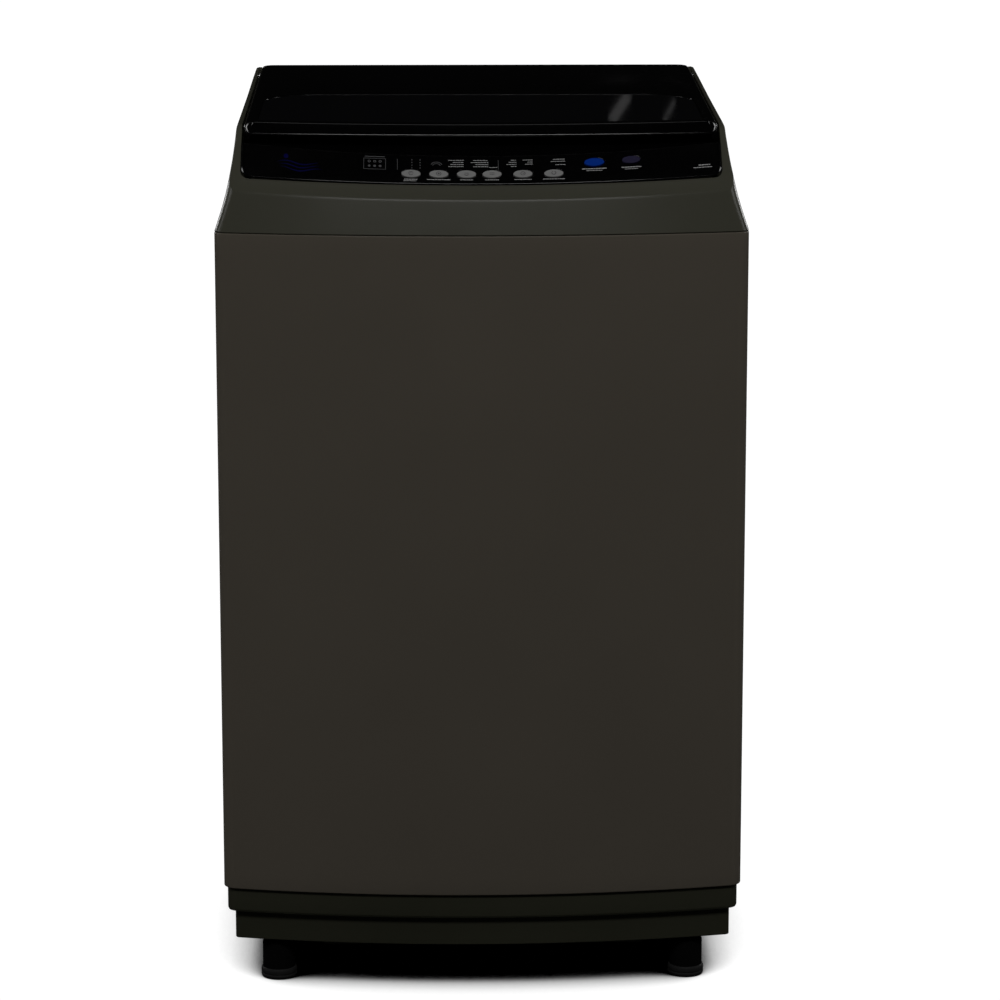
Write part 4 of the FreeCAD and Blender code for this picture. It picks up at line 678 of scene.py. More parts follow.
def slab(outer: np.ndarray, inner: np.ndarray) -> Surface:
    """Closes two equal grids into one plate by walls along their four edges."""
    faces = [grid(outer), grid(inner[::-1])]
    edges = ((outer[0], inner[0]), (inner[-1], outer[-1]), (inner[:, 0], outer[:, 0]), (outer[:, -1], inner[:, -1]))
    return joined(faces + [grid(np.stack(pair)) for pair in edges])


def inward(outline: np.ndarray) -> np.ndarray:
    """Unit normals of a closed ring of (n, 2) points, pointing to its inside.

    The normal is the central difference of the neighbours, turned by a quarter towards the middle.
    """
    step = np.roll(outline, -1, 0) - np.roll(outline, 1, 0)
    normal = np.stack([step[:, 1], -step[:, 0]], -1)
    normal /= np.linalg.norm(normal, axis=1, keepdims=True) + 1e-12
    facing = np.sign(np.sum(normal * (outline.mean(0) - outline), axis=1)).mean()
    return normal * (1 if facing > 0 else -1)


def carried(outline: np.ndarray, profile: np.ndarray) -> np.ndarray:
    """Carries a (inset, height) profile round an outline: point = outline + inset * inward normal.

    Args:
        outline: (n, 2) closed ring.
        profile: (m, 2) insets and heights.
    Returns:
        (n, m, 3) points.
    """
    normal = inward(outline)
    flat = outline[:, None, :] + normal[:, None, :] * profile[None, :, :1]
    height = np.broadcast_to(profile[None, :, 1:], flat.shape[:2] + (1,))
    return np.concatenate([flat, height], -1)


# ---- cabinet --------------------------------------------------------------------------------------------------
@dataclass
class Cabinet:
    """Painted wrap, beaded rear sheet, two-step base and feet."""

    sheet: float = 0.0012
    flange: float = 0.014
    returns: float = 0.267
    hem: float = 0.0016
    high_inset: float = 0.004
    low_inset: float = 0.0125
    wall: float = 0.003
    service_hole: float = 0.165
    bead_shares: tuple[float, float, float] = (0.3, 0.5, 0.7)
    bead_end: float = 0.075
    bead_half: float = 0.014
    bead_slope: float = 0.008
    bead_depth: float = 0.0025
    rear_grid: tuple[int, int] = (150, 170)
    stem_pitch: float = 0.0015
    thread_depth: float = 0.00035

    def outline(self, inset: float = 0.0) -> np.ndarray:
        """Closed ring of the body's plan, set in by inset."""
        line = LINES
        right = plan(line.half - inset, line.front + inset, line.rear - inset, line.bow,
                     max(line.front_corner - inset, 0.002), max(line.rear_corner - inset, 0.002))
        return mirrored(right)

    def wrap(self) -> None:
        """Sheet wrap: a closed hemmed profile carried along the outline, open across the back.

        The profile goes up the outer face, over a small hem, in along the top flange and back down the inside.
        """
        line = LINES
        top, low, t, f = line.joint, line.bottom, self.sheet, self.flange
        outer = [(f, low), (0.0, low), (0.0, low + 0.02), (0.0, top - 0.02), (0.0, top), (f, top)]
        inner = [(f, top - t), (t, top - t), (t, low + t), (f, low + t)]
        face = rounded(np.array(outer), np.full(6, self.hem), 5)
        profile = np.concatenate([face, rounded(np.array(inner), np.full(4, self.hem * 0.5), 3)])
        ring = self.outline()
        start = int(np.argmin(np.abs(ring[:, 0] - self.returns) + np.abs(ring[:, 1] - line.rear) * 9))
        path = carried(ring, profile)
        count = len(ring)
        kept = path[start:count - start + 1]
        mesh_object("cabinet_wrap", grid(kept, loop_v=True, caps=True), BODY_PAINT, "cabinet", ("cabinet_shell",))

    def rear_sheet(self) -> None:
        """Rear sheet: a flat grid pushed inwards by three long beads.

        Each bead is a smooth step of the distance from a level line that ends bead_end short of the sheet's sides.
        """
        low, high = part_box("rear_panel")
        x = np.linspace(low.x, high.x, self.rear_grid[0])[:, None]
        z = np.linspace(low.z, high.z, self.rear_grid[1])[None, :]
        depth = np.zeros(self.rear_grid)
        for share in self.bead_shares:
            level = low.z + share * (high.z - low.z)
            away = np.hypot(np.maximum(np.abs(x) - (high.x - self.bead_end), 0), z - level)
            depth = depth + smooth((self.bead_half - away) / self.bead_slope)
        y = high.y - self.bead_depth * depth
        front_y = y - self.sheet
        outer = np.stack(np.broadcast_arrays(x, y, z), -1)
        inner = np.stack(np.broadcast_arrays(x, front_y, z), -1)
        mesh_object("rear_sheet", slab(outer, inner), ZINC, "cabinet", ("rear_panel",))

    def base(self) -> None:
        """Base: one closed profile with a wide upper band and a narrower lower one, carried round the outline."""
        line = LINES
        step = line.base_low + 0.034
        a, b, w = self.high_inset, self.low_inset, self.wall
        loop = np.array([(a, line.bottom - 0.0002), (a, step), (b, step), (b, line.base_low), (b + w, line.base_low),
                         (b + w, step + w), (a + w, step + w), (a + w, line.bottom - 0.0002)])
        sizes = (0.0012, 0.0035, 0.0012, 0.0022, 0.0010, 0.001, 0.001, 0.001)
        wrapped = np.concatenate([loop[-1:], loop, loop[:1]])
        profile = rounded(wrapped, np.array((0.0,) + sizes + (0.0,)), 6)[1:-1]
        ring = grid(carried(self.outline(), profile), loop_u=True, loop_v=True)
        parts = [ring, self._floor(step)]
        parts += [self._boss(x, y, step) for x, y in self.foot_places()]
        mesh_object("base_moulding", joined(parts), BASE_PLASTIC, "cabinet", ("base_plinth",))

    def _floor(self, level: float) -> Surface:
        """Floor of the base: a flat ring between the outline and a round service hole."""
        outer = self.outline(self.high_inset + 0.001)
        angle = np.arctan2(outer[:, 1] - LINES.wash_y, outer[:, 0])
        inner = self.service_hole * np.stack([np.cos(angle), np.sin(angle)], -1) + np.array([0.0, LINES.wash_y])
        over, under = level + self.wall * 0.9, level + 0.0004
        z = np.array([over, over, under, under])
        flat = np.stack([outer, inner, inner, outer], 1)
        shape = np.concatenate([flat, np.broadcast_to(z[None, :, None], flat.shape[:2] + (1,))], -1)
        return grid(shape, loop_u=True, loop_v=True)

    def foot_places(self) -> list[tuple[float, float]]:
        """Middles of the two front feet, then of the two rear feet."""
        places = []
        for name in ("front_foot_left", "front_foot_right"):
            low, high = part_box(name)
            places.append(((low.x + high.x) / 2, (low.y + high.y) / 2))
        low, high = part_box("rear_feet")
        radius = (high.y - low.y) / 2
        return places + [(side * (high.x - radius), (low.y + high.y) / 2) for side in (-1, 1)]

    def _boss(self, x: float, y: float, level: float) -> Surface:
        """Foot boss: a turned ring under the floor."""
        low = LINES.base_low
        loop = np.array([(0.0054, low), (0.0245, low), (0.0245, level), (0.0054, level)])
        return turned(rounded_loop(loop, 0.001), 40).shifted(x, y)

    def feet(self) -> None:
        """Feet: a ribbed rubber pad and a collar with a locking nut on a threaded stem, all turned.

        The thread is a sine wave of the stem's radius with height.
        """
        pad = [(0.0, 0.0), (0.0185, 0.0), (0.0205, 0.002), (0.0205, 0.004), (0.0198, 0.005), (0.0205, 0.006),
               (0.0205, 0.0095), (0.0192, 0.012), (0.0, 0.012)]
        collar = [(0.0, 0.012), (0.0186, 0.012), (0.0186, 0.041), (0.0172, 0.0445), (0.009, 0.0455), (0.009, 0.046)]
        z = np.linspace(0.046, 0.077, 90)
        thread = np.stack([0.0046 + self.thread_depth * np.sin(2 * np.pi * z / self.stem_pitch), z], -1)
        stem = np.concatenate([np.array(collar), thread, np.array([(0.0, 0.078)])])
        pads = turned(rounded(np.array(pad), np.full(len(pad), 0.0008), 3), 56, closed=False)
        stems = turned(stem, 56, closed=False)
        rows = [("front_foot_left", "foot_left", "front_foot_left"),
                ("front_foot_right", "foot_right", "front_foot_right"),
                ("rear_foot_left", "cabinet", "rear_feet"), ("rear_foot_right", "cabinet", "rear_feet")]
        for (name, body, node), (x, y) in zip(rows, self.foot_places()):
            mesh_object(f"{name}_pad", pads.shifted(x, y), PAD_RUBBER, body, (node,))
            mesh_object(f"{name}_stem", stems.shifted(x, y), RUBBER, body, (node,))

    def build(self) -> None:
        """Builds every piece of the cabinet."""
        self.wrap()
        self.rear_sheet()
        self.base()
        self.feet()


# ---- top cover ------------------------------------------------------------------------------------------------
@dataclass
class TopCover:
    """Painted cover: drafted walls, chamfered front, rails beside the lid, deck and loading mouth."""

    gap: float = 0.001
    levels: int = 360
    counts: tuple[int, int, int, int, int] = (40, 10, 60, 26, 44)
    crease: float = 0.0050
    mouth: float = 0.212
    mouth_front: float = 0.004
    collar_end: float = 0.008
    slot_margin: float = 0.009
    slot_clear: float = 0.0015
    lip: float = 0.003
    lean: float = 0.0255
    lean_rise: float = 0.058
    lean_power: float = 1.15
    front_lean: float = 0.36
    corner_growth: float = 0.07
    chamber_start: tuple[float, float] = (0.034, 0.042)
    chamber_slope: float = 0.36
    sheet_wall: float = 0.0022

    def wall(self, rise: np.ndarray) -> np.ndarray:
        """Plan of the drafted wall at each rise, as (n, m, 2) points of the whole ring.

        The sides lean in by lean (1 - exp(-(rise / lean_rise)^lean_power)), and the front by front_lean times the rise.
        The front corners grow by corner_growth times the rise. The rear corners
        tighten from 14 mm at the joint to 4.5 mm, so that they end beside the lid.
        """
        line = LINES
        draft = self.lean * (1 - np.exp(-(rise / self.lean_rise) ** self.lean_power))
        rear_corner = line.rear_corner - 0.0095 * np.clip(rise / 0.104, 0, 1)
        right = plan(line.half - draft, line.front + self.front_lean * rise, line.rear, line.bow,
                     line.front_corner + self.corner_growth * rise, rear_corner, self.counts)
        return mirrored(right)

    def rim(self) -> np.ndarray:
        """Inner edge of the cover's top face, as (n, 2) points matched to the wall's columns."""
        line = LINES
        right = plan(line.pocket, line.front + line.chamfer[0], line.rear, line.bow * 0.96, 0.012, 0.0004,
                     self.counts)
        back = self.counts[0]
        right[:back, 1] = line.rear - 0.003
        return mirrored(right)

    def sheet(self) -> np.ndarray:
        """The cover as one grid: round the outline, and from the joint up the wall, over the top and down the mouth.

        A column climbs its wall to the rise where the wall meets the top face, crosses to the rim in a straight line
        in plan, drops to the deck, crosses the deck to the mouth and ends at the foot of the collar.
        """
        line = LINES
        rise = np.linspace(self.gap, 0.160, self.levels)
        walls = self.wall(rise)
        top = line.cover_rise(walls[..., 0], walls[..., 1] - line.front)
        count = len(walls)
        index = np.arange(count)
        back = self.counts[0]
        on_back = (index < back) | (index > count - back)
        top = np.where(on_back[:, None], line.rear_wall, top)
        over = rise[None, :] > top
        first = np.argmax(over, axis=1)
        before = top[index, first - 1] - rise[first - 1]
        after = rise[first] - top[index, first]
        share = before / (before + after)
        peak = rise[first - 1] + share * (rise[first] - rise[first - 1])
        edge = walls[index, first - 1] * (1 - share[:, None]) + walls[index, first] * share[:, None]
        rim = self.rim()
        rim_rise = line.cover_rise(rim[:, 0], rim[:, 1] - line.front)
        rim_rise = np.where(on_back, line.rear_wall, rim_rise)
        corner = self._three(edge, peak)
        lip = self._three(rim, rim_rise)
        stages = [self._three(self._at(walls, rise, peak * s + self.gap * (1 - s)), peak * s + self.gap * (1 - s))
                  for s in (0.0, 0.03, 0.2, 0.4, 0.6, 0.75, 0.88)]
        floor = self._floor_rise(rim[:, 1] - line.front)
        depth = self._three(rim, np.minimum(floor, rim_rise - 0.001))
        climb = np.stack(stages + [corner, lip, depth], 1)
        sizes = np.array([0.0006] * 7 + [self.crease, 0.0009, 0.002])
        climb = rounded(climb, sizes, 6)
        return np.concatenate([climb, self._deck(rim)], 1)

    def _deck(self, rim: np.ndarray) -> np.ndarray:
        """Deck from the rim to the mouth in a straight line in plan, then the rounded mouth and its collar.

        The collar stops short above the detergent drawer, which slides out under it.
        """
        line = LINES
        mouth = self._mouth(rim)
        share = np.concatenate([np.linspace(0.01, 0.9, 14), [0.97]])[None, :, None]
        flat = rim[:, None, :] * (1 - share) + mouth[:, None, :] * share
        height = self._floor_rise(flat[..., 1] - line.front)
        deck = np.concatenate([flat, (line.joint + height)[..., None]], -1)
        lip_rise = line.deck_rise(np.maximum(mouth[:, 1] - line.front, line.step_setback))
        turn = np.linspace(0, np.pi / 2, 6)[None, :, None]
        radial = mouth[:, None, :] - np.array([0.0, line.wash_y])
        radial = radial * (1 + (self.lip / self.mouth) * (1 - np.sin(turn)))
        lip = np.concatenate([radial + np.array([0.0, line.wash_y]),
                              line.joint + lip_rise[:, None, None] - self.lip * (1 - np.cos(turn))], -1)
        _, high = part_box("detergent_drawer")
        before_drawer = (np.abs(mouth[:, 0]) < high.x + self.slot_margin) & (mouth[:, 1] > line.wash_y)
        end = self._three(mouth, np.where(before_drawer, high.z + self.slot_clear - line.joint, self.collar_end))
        return np.concatenate([deck, lip, end[:, None, :]], 1)

    def _mouth(self, rim: np.ndarray) -> np.ndarray:
        """Mouth's edge at the angle of each rim point: a circle whose front is cut by a straight line."""
        line = LINES
        away = rim - np.array([0.0, line.wash_y])
        angle = np.arctan2(away[:, 1], away[:, 0])
        cut = line.front + line.step_setback + self.mouth_front - line.wash_y
        reach = np.where(np.sin(angle) < -1e-6, cut / np.minimum(np.sin(angle), -1e-6), 9.0)
        radius = np.minimum(self.mouth, reach)
        return radius[:, None] * np.stack([np.cos(angle), np.sin(angle)], -1) + np.array([0.0, line.wash_y])

    def _floor_rise(self, setback: np.ndarray) -> np.ndarray:
        """Rise of the floor: the control chamber's slope in front of the step and the deck behind it."""
        line = LINES
        chamber = self.chamber_start[1] + self.chamber_slope * (setback - self.chamber_start[0])
        step = smooth((setback - line.step_setback) / 0.001 + 1.0)
        return chamber * (1 - step) + line.deck_rise(setback) * step

    def _at(self, walls: np.ndarray, rise: np.ndarray, wanted: np.ndarray) -> np.ndarray:
        """Point of each column's wall at its own wanted rise, by linear steps between levels."""
        place = (wanted - rise[0]) / (rise[1] - rise[0])
        low = np.clip(np.floor(place).astype(int), 0, len(rise) - 2)
        part = (place - low)[:, None]
        index = np.arange(len(walls))
        return walls[index, low] * (1 - part) + walls[index, low + 1] * part

    def _three(self, flat: np.ndarray, rise: np.ndarray) -> np.ndarray:
        """Adds the height joint + rise to (n, 2) points."""
        return np.concatenate([flat, (LINES.joint + rise)[:, None]], -1)

    def seat(self) -> None:
        """Dark step under the cover that leaves a thin shadow line above the cabinet."""
        line = LINES
        loop = np.array([(0.0016, line.joint), (0.0016, line.joint + 0.003), (0.013, line.joint + 0.003),
                         (0.013, line.joint)])
        ring = Cabinet().outline()
        shape = grid(carried(ring, rounded_loop(loop, 0.0004, 3)), loop_u=True, loop_v=True)
        mesh_object("cover_seat", shape, BASE_PLASTIC, "cabinet")

    def build(self) -> None:
        """Builds the cover and its seat."""
        piece = mesh_object("cover_shell", grid(self.sheet(), loop_u=True), COVER_PAINT, "cabinet", ("top_cover",),
                            sharp=50, face_up=True)
        thicken(piece, self.sheet_wall)
        self.seat()


# ---- control panel --------------------------------------------------------------------------------------------
@dataclass
class Button:
    """An oval key: its node, its place on the panel's face and its size."""

    node: str
    x: float
    up: float
    width: float
    height: float
    finish: Finish

    @property
    def body(self) -> str:
        """The CAD body that the key rides on."""
        return self.node.replace("button_", "key_")


@dataclass
class ControlPanel:
    """Gloss black fascia with a scooped finger recess, sprung keys, lamps and printed marks."""

    side_gap: float = 0.0007
    lower_corner: float = 0.012
    edge: float = 0.0009
    well: float = 0.0036
    well_gap: float = 0.0004
    proud: float = 0.0013
    lift: float = 0.00012
    buttons: list[Button] = field(default_factory=list)

    def __post_init__(self) -> None:
        """Lists the keys from left to right."""
        for number, x in enumerate((-78.0, -47.5, -17.0, 11.0, 45.0, 79.0), start=1):
            self.buttons.append(Button(f"button_{number}", x * MM, 14 * MM, 21 * MM, 10.5 * MM, SILVER))
        self.buttons.append(Button("button_blue", 124 * MM, 28 * MM, 22 * MM, 11 * MM, BLUE))
        self.buttons.append(Button("button_violet", 165 * MM, 29 * MM, 20 * MM, 10 * MM, VIOLET))

    def ends(self, x: np.ndarray) -> tuple[np.ndarray, np.ndarray]:
        """Lower and upper edge of the sloping face at x, as (..., 3) points."""
        line = LINES
        q = line.q(x)
        foot = np.stack([x, line.front + line.foot[0] + line.corner_setback * q,
                         line.joint + line.foot[1] + line.corner_rise * q], -1)
        head = np.stack([x, line.front + line.head[0] + line.corner_setback * q,
                         line.joint + line.head[1] + line.smile * q], -1)
        return foot, head

    def face(self, x: np.ndarray, up: np.ndarray, out: np.ndarray | float = 0.0) -> np.ndarray:
        """Point of the sloping face at x, up it from its lower edge and out of it.

        point = foot + up * (head - foot) / |head - foot| + out * normal.
        """
        x, up, out = np.broadcast_arrays(np.asarray(x, float), np.asarray(up, float), np.asarray(out, float))
        foot, head = self.ends(x)
        rise = head - foot
        rise = rise / np.linalg.norm(rise, axis=-1, keepdims=True)
        q_step = 2 * x / LINES.reach ** 2
        along = np.stack([np.ones_like(x), LINES.corner_setback * q_step, LINES.corner_rise * q_step], -1)
        normal = np.cross(along, rise)
        normal /= np.linalg.norm(normal, axis=-1, keepdims=True)
        return foot + up[..., None] * rise + out[..., None] * normal

    def columns(self) -> np.ndarray:
        """x of the fascia's columns: every 5 mm, and every 0.6 mm across the keys."""
        half = LINES.pocket - self.side_gap
        sets = [np.linspace(-half, half, 108)]
        for key in self.buttons:
            reach = 1.13 * (key.width / 2 + self.well_gap)
            sets.append(np.arange(key.x - reach, key.x + reach, 0.0006))
        x = np.sort(np.concatenate(sets))
        return x[np.append(True, np.diff(x) > 0.00025)]

    def fascia(self) -> None:
        """Fascia: sloping face with a well round each key, a crisp smile-shaped edge, the scoop and a rear ledge.

        A well is as deep as a smooth step of the oval distance from its key. The scoop's section is a straight line
        from the smile edge to the ledge, lowered by 4 s (1 - s) times its depth, where s runs from 0 to 1.
        """
        line = LINES
        half = line.pocket - self.side_gap
        x_all = self.columns()
        length = 0.0412
        roll = np.linspace(0.0, np.pi / 2, 6)
        up = np.concatenate([self.edge * (1 - np.cos(roll)), np.arange(self.edge + 0.0004, length - 0.001, 0.0006),
                             [length - 0.0007]])
        sunk = np.zeros(len(up))
        sunk[:6] = self.edge * (1 - np.sin(roll))
        lower = np.clip(self.lower_corner - up, 0, self.lower_corner)
        narrow = self.lower_corner - np.sqrt(self.lower_corner ** 2 - lower ** 2)
        share = (x_all / half)[:, None]
        x = share * (half - narrow[None, :])
        foot, head = self.ends(x)
        run = np.linalg.norm(head - foot, axis=-1)
        climb = up[None, :] / length * run
        depth = np.zeros_like(x)
        for key in self.buttons:
            away = np.hypot((x - key.x) / (key.width / 2 + self.well_gap),
                            (climb - key.up) / (key.height / 2 + self.well_gap))
            depth = np.maximum(depth, smooth((1.10 - away) / 0.10))
        face = self.face(x, climb, -self.well * depth - sunk[None, :])
        skirt = self.face(x[:, :1], -0.0002, -0.006)
        x_top = x_all
        _, edge = self.ends(x_top)
        end_y = line.front + line.lid_front[0] + line.lid_bow * line.q(x_top) + 0.0175
        end_z = line.joint + 0.0922 + 0.0006 * line.q(x_top)
        s = np.concatenate([[0.0, 0.012], np.linspace(0.03, 1.0, 30)])[None, :]
        deep = 0.0085 - 0.005 * np.minimum(line.q(x_top), 1.0)
        scoop_y = edge[:, None, 1] + (end_y - edge[:, 1])[:, None] * s
        scoop_z = edge[:, None, 2] + (end_z - edge[:, 2])[:, None] * s - 4 * s * (1 - s) * deep[:, None]
        scoop = np.stack([np.broadcast_to(x_top[:, None], scoop_y.shape), scoop_y, scoop_z], -1)
        ledge = scoop[:, -1:] + np.array([0.0, 0.004, 0.0002])
        drop = ledge + np.array([0.0, 0.001, -0.0065])
        corner = np.stack([face[:, -1], edge, scoop[:, 1]], 1)
        corner = rounded(corner, np.array([0, 0.0012, 0]), 6)
        shape = np.concatenate([skirt, face[:, :-1], corner, scoop[:, 2:], ledge, drop], 1)
        piece = mesh_object("fascia", grid(shape), BLACK_GLOSS, "cabinet", ("control_panel",), sharp=55,
                            face_up=True)
        thicken(piece, 0.0016)

    def keys(self) -> None:
        """Keys: an oval dome. Its height over the oval radius r is proud * (1 - 0.35 r^2), with a rounded rim."""
        for key in self.buttons:
            r = np.array([0.0, 0.3, 0.55, 0.75, 0.88, 0.95, 0.985, 1.0, 1.0, 1.0])
            h = self.proud * (1 - 0.30 * r ** 2)
            h[5:] = h[4] - np.array([0.00008, 0.00022, 0.00045, 0.0018, 0.0031])
            angle = full_turn(64)[:, None]
            x = key.x + key.width / 2 * r[None, :] * np.cos(angle)
            up = key.up + key.height / 2 * r[None, :] * np.sin(angle)
            top = self.face(x, up, np.broadcast_to(h[None, :], x.shape))
            base = self.face(np.full((64, 1), key.x), np.full((64, 1), key.up), h[-1])
            mesh_object(key.node + "_cap", grid(np.concatenate([top, base], 1), loop_u=True), key.finish, key.body,
                        (key.node,), sharp=60)

    def patch(self, x: np.ndarray, up: np.ndarray, lift: float | None = None) -> Surface:
        """Thin printed patch: a grid on the face, lifted by the ink, closed by a copy sunk under the face."""
        lift = self.lift if lift is None else lift
        top = self.face(x, up, lift)
        low = self.face(x, up, lift - 0.0003)
        return slab(top, low)

    def bar(self, x0: float, x1: float, up: float, height: float = 0.9) -> Surface:
        """Printed bar from x0 to x1 at a distance up the face, in millimetres."""
        x = np.linspace(x0, x1, max(2, int((x1 - x0) / 4) + 2))[:, None] * MM
        rise = np.array([up - height / 2, up + height / 2])[None, :] * MM
        return self.patch(x + 0 * rise, rise + 0 * x)

    def words(self, x0: float, x1: float, up: float, height: float = 0.9, seed: int = 1) -> list[Surface]:
        """Row of short bars that stands for a printed label.

        Args:
            x0: left end in millimetres.
            x1: right end.
            up: distance up the face.
            height: height of the row.
            seed: picks how the row is split.
        Returns:
            The bars.
        """
        bars, x = [], x0
        step = 0
        while x < x1 - 0.8:
            size = min(1.6 + 2.4 * ((seed * 37 + step * 53) % 10) / 10.0, x1 - x)
            bars.append(self.bar(x, x + size, up, height))
            x += size + 0.45
            step += 1
        return bars

    def ring(self, x: float, up: float, outer: float, inner: float, start: float = 0.0, end: float = 360.0,
             squash: float = 1.0) -> Surface:
        """Printed ring or arc about a point, from one angle to another, in millimetres and degrees."""
        angle = np.radians(np.linspace(start, end, 49))[:, None]
        radius = np.array([inner, outer])[None, :]
        return self.patch((x + radius * np.cos(angle)) * MM, (up + squash * radius * np.sin(angle)) * MM)

    def lamps(self) -> list[Surface]:
        """Two columns of round indicator lamps."""
        spots = []
        for x in (-77.0, -68.0):
            for up in (22.5, 26.4, 30.4, 34.2):
                spots.append(self.ring(x, up, 0.7, 0.02))
        return spots

    def labels(self) -> list[Surface]:
        """White marks: a label under each key, option rows, separators and the pictogram box."""
        rows: list[Surface] = []
        for number, key in enumerate(self.buttons[:6]):
            width = (15, 26, 14, 15, 19, 24)[number]
            rows += self.words(key.x / MM - width / 2, key.x / MM + width / 2, 6.2, 1.0, number)
        rows += self.words(-86, -72, 4.0, 0.8, 9)
        for x, width in ((124.0, 27.0), (165.0, 22.0)):
            rows += self.words(x - width / 2, x + width / 2, 19.0, 1.2, int(x))
            rows += self.words(x - width / 3, x + width / 3, 16.4, 0.8, int(x) + 3)
        columns = ((-37, -20, (34.2, 31.2, 28.2, 25.2)), (-12, 7, (34.2, 31.2, 28.2, 25.2)),
                   (27, 38, (34.2, 31.2, 28.2, 25.2)), (45, 56, (34.2, 31.2, 28.2)), (76, 92, (34.2, 31.2, 26.5)))
        for index, (x0, x1, ups) in enumerate(columns):
            for row, up in enumerate(ups):
                short = 2.5 * ((index + 2 * row) % 3)
                rows += self.words(x0 + short, x1, up, 0.8, index * 7 + row)
        rows += self.words(8, 18, 24.0, 0.7, 5)
        return rows

    def pictograms(self) -> list[Surface]:
        """Grey marks: a frame with two rows of small signs, the arc over the second key and thin separators."""
        marks = [self.bar(-129, -107, 37.2, 0.9)]
        for x0, x1, up in ((-130, -106, 34.6), (-130, -106, 19.4)):
            marks.append(self.bar(x0, x1, up, 0.5))
        for x in (-130, -106, -93, 18):
            xs = np.array([x - 0.25, x + 0.25])[:, None] * MM
            ups = np.array([19.4, 34.6])[None, :] * MM
            marks.append(self.patch(xs + 0 * ups, ups + 0 * xs))
        for x in (-124, -118, -112):
            marks.append(self.ring(x, 30.5, 1.7, 0.9))
            marks.append(self.ring(x, 24.0, 1.5, 0.1))
        marks.append(self.ring(-50, 25.5, 7.0, 6.2, 25, 155, 0.9))
        marks.append(self.ring(-50, 25.5, 4.6, 3.9, 15, 165, 0.9))
        return marks

    def wave_mark(self) -> list[Surface]:
        """Blue ornament at the left: three nested waves, each a sine with a fading height, and a drop."""
        marks = []
        for number in range(3):
            t = np.linspace(0, 1, 40)[:, None]
            x = -226 + 46 * t + 2 * number
            middle = 23 - 4.4 * number + 3.0 * np.sin(2 * np.pi * (t * 1.15 + 0.1 * number)) * (1 - 0.5 * t)
            half = 0.75 * np.sin(np.pi * t) + 0.06
            up = middle + half * np.array([-1.0, 1.0])[None, :]
            marks.append(self.patch((x + 0 * up) * MM, up * MM))
        marks.append(self.ring(-216, 31.5, 2.6, 0.05, squash=1.2))
        return marks

    def icons(self) -> None:
        """Small signs on the key caps: an arc, a ring or a bar each, which travel with their key."""
        for number, key in enumerate(self.buttons[:6]):
            x, up = key.x / MM, key.up / MM
            shapes = [[self.ring(x, up, 2.6, 2.0, 20, 340), self.bar(x - 0.3, x + 0.3, up + 1.2, 2.6)],
                      [self.ring(x, up, 2.8, 2.2), self.ring(x, up, 1.0, 0.05)],
                      [self.ring(x, up, 2.6, 2.0, 200, 340), self.bar(x - 2.4, x + 2.4, up + 0.8, 0.6)],
                      [self.bar(x - 2.6, x + 2.6, up + 1.1, 0.6), self.bar(x - 2.6, x + 2.6, up - 0.9, 0.6)],
                      [self.ring(x, up, 2.7, 2.1), self.bar(x - 0.25, x + 1.6, up, 0.5)],
                      [self.ring(x, up, 2.6, 1.9, 110, 430)]][number]
            sign = joined(shapes)
            _, _, out = self._frame(key)
            sign.points = sign.points + out * (self.proud * 0.985)
            mesh_object(key.node + "_sign", sign, PRINT_DARK, key.body)

    def _frame(self, key: Button) -> tuple[np.ndarray, np.ndarray, np.ndarray]:
        """Place of a key's middle, and unit steps up and out of the face there."""
        here = self.face(key.x, key.up)
        up = self.face(key.x, key.up + MM) - here
        out = self.face(key.x, key.up, MM) - here
        return here, up / np.linalg.norm(up), out / np.linalg.norm(out)

    def build(self) -> None:
        """Builds the fascia, its keys and everything printed on them."""
        self.fascia()
        self.keys()
        self.icons()
        mesh_object("panel_labels", joined(self.labels()), PRINT_WHITE, "cabinet")
        mesh_object("panel_pictograms", joined(self.pictograms()), PRINT_GREY, "cabinet")
        mesh_object("panel_lamps", joined(self.lamps()), PRINT_GREY, "cabinet", ("indicator_leds",))
        mesh_object("panel_wave", joined(self.wave_mark()), PRINT_BLUE, "cabinet")
        capacity = self.words(240, 253, 15.5, 1.4, 2) + self.words(234, 255, 12.3, 1.0, 4)
        mesh_object("panel_capacity_bars", joined(capacity), PRINT_WHITE, "cabinet")


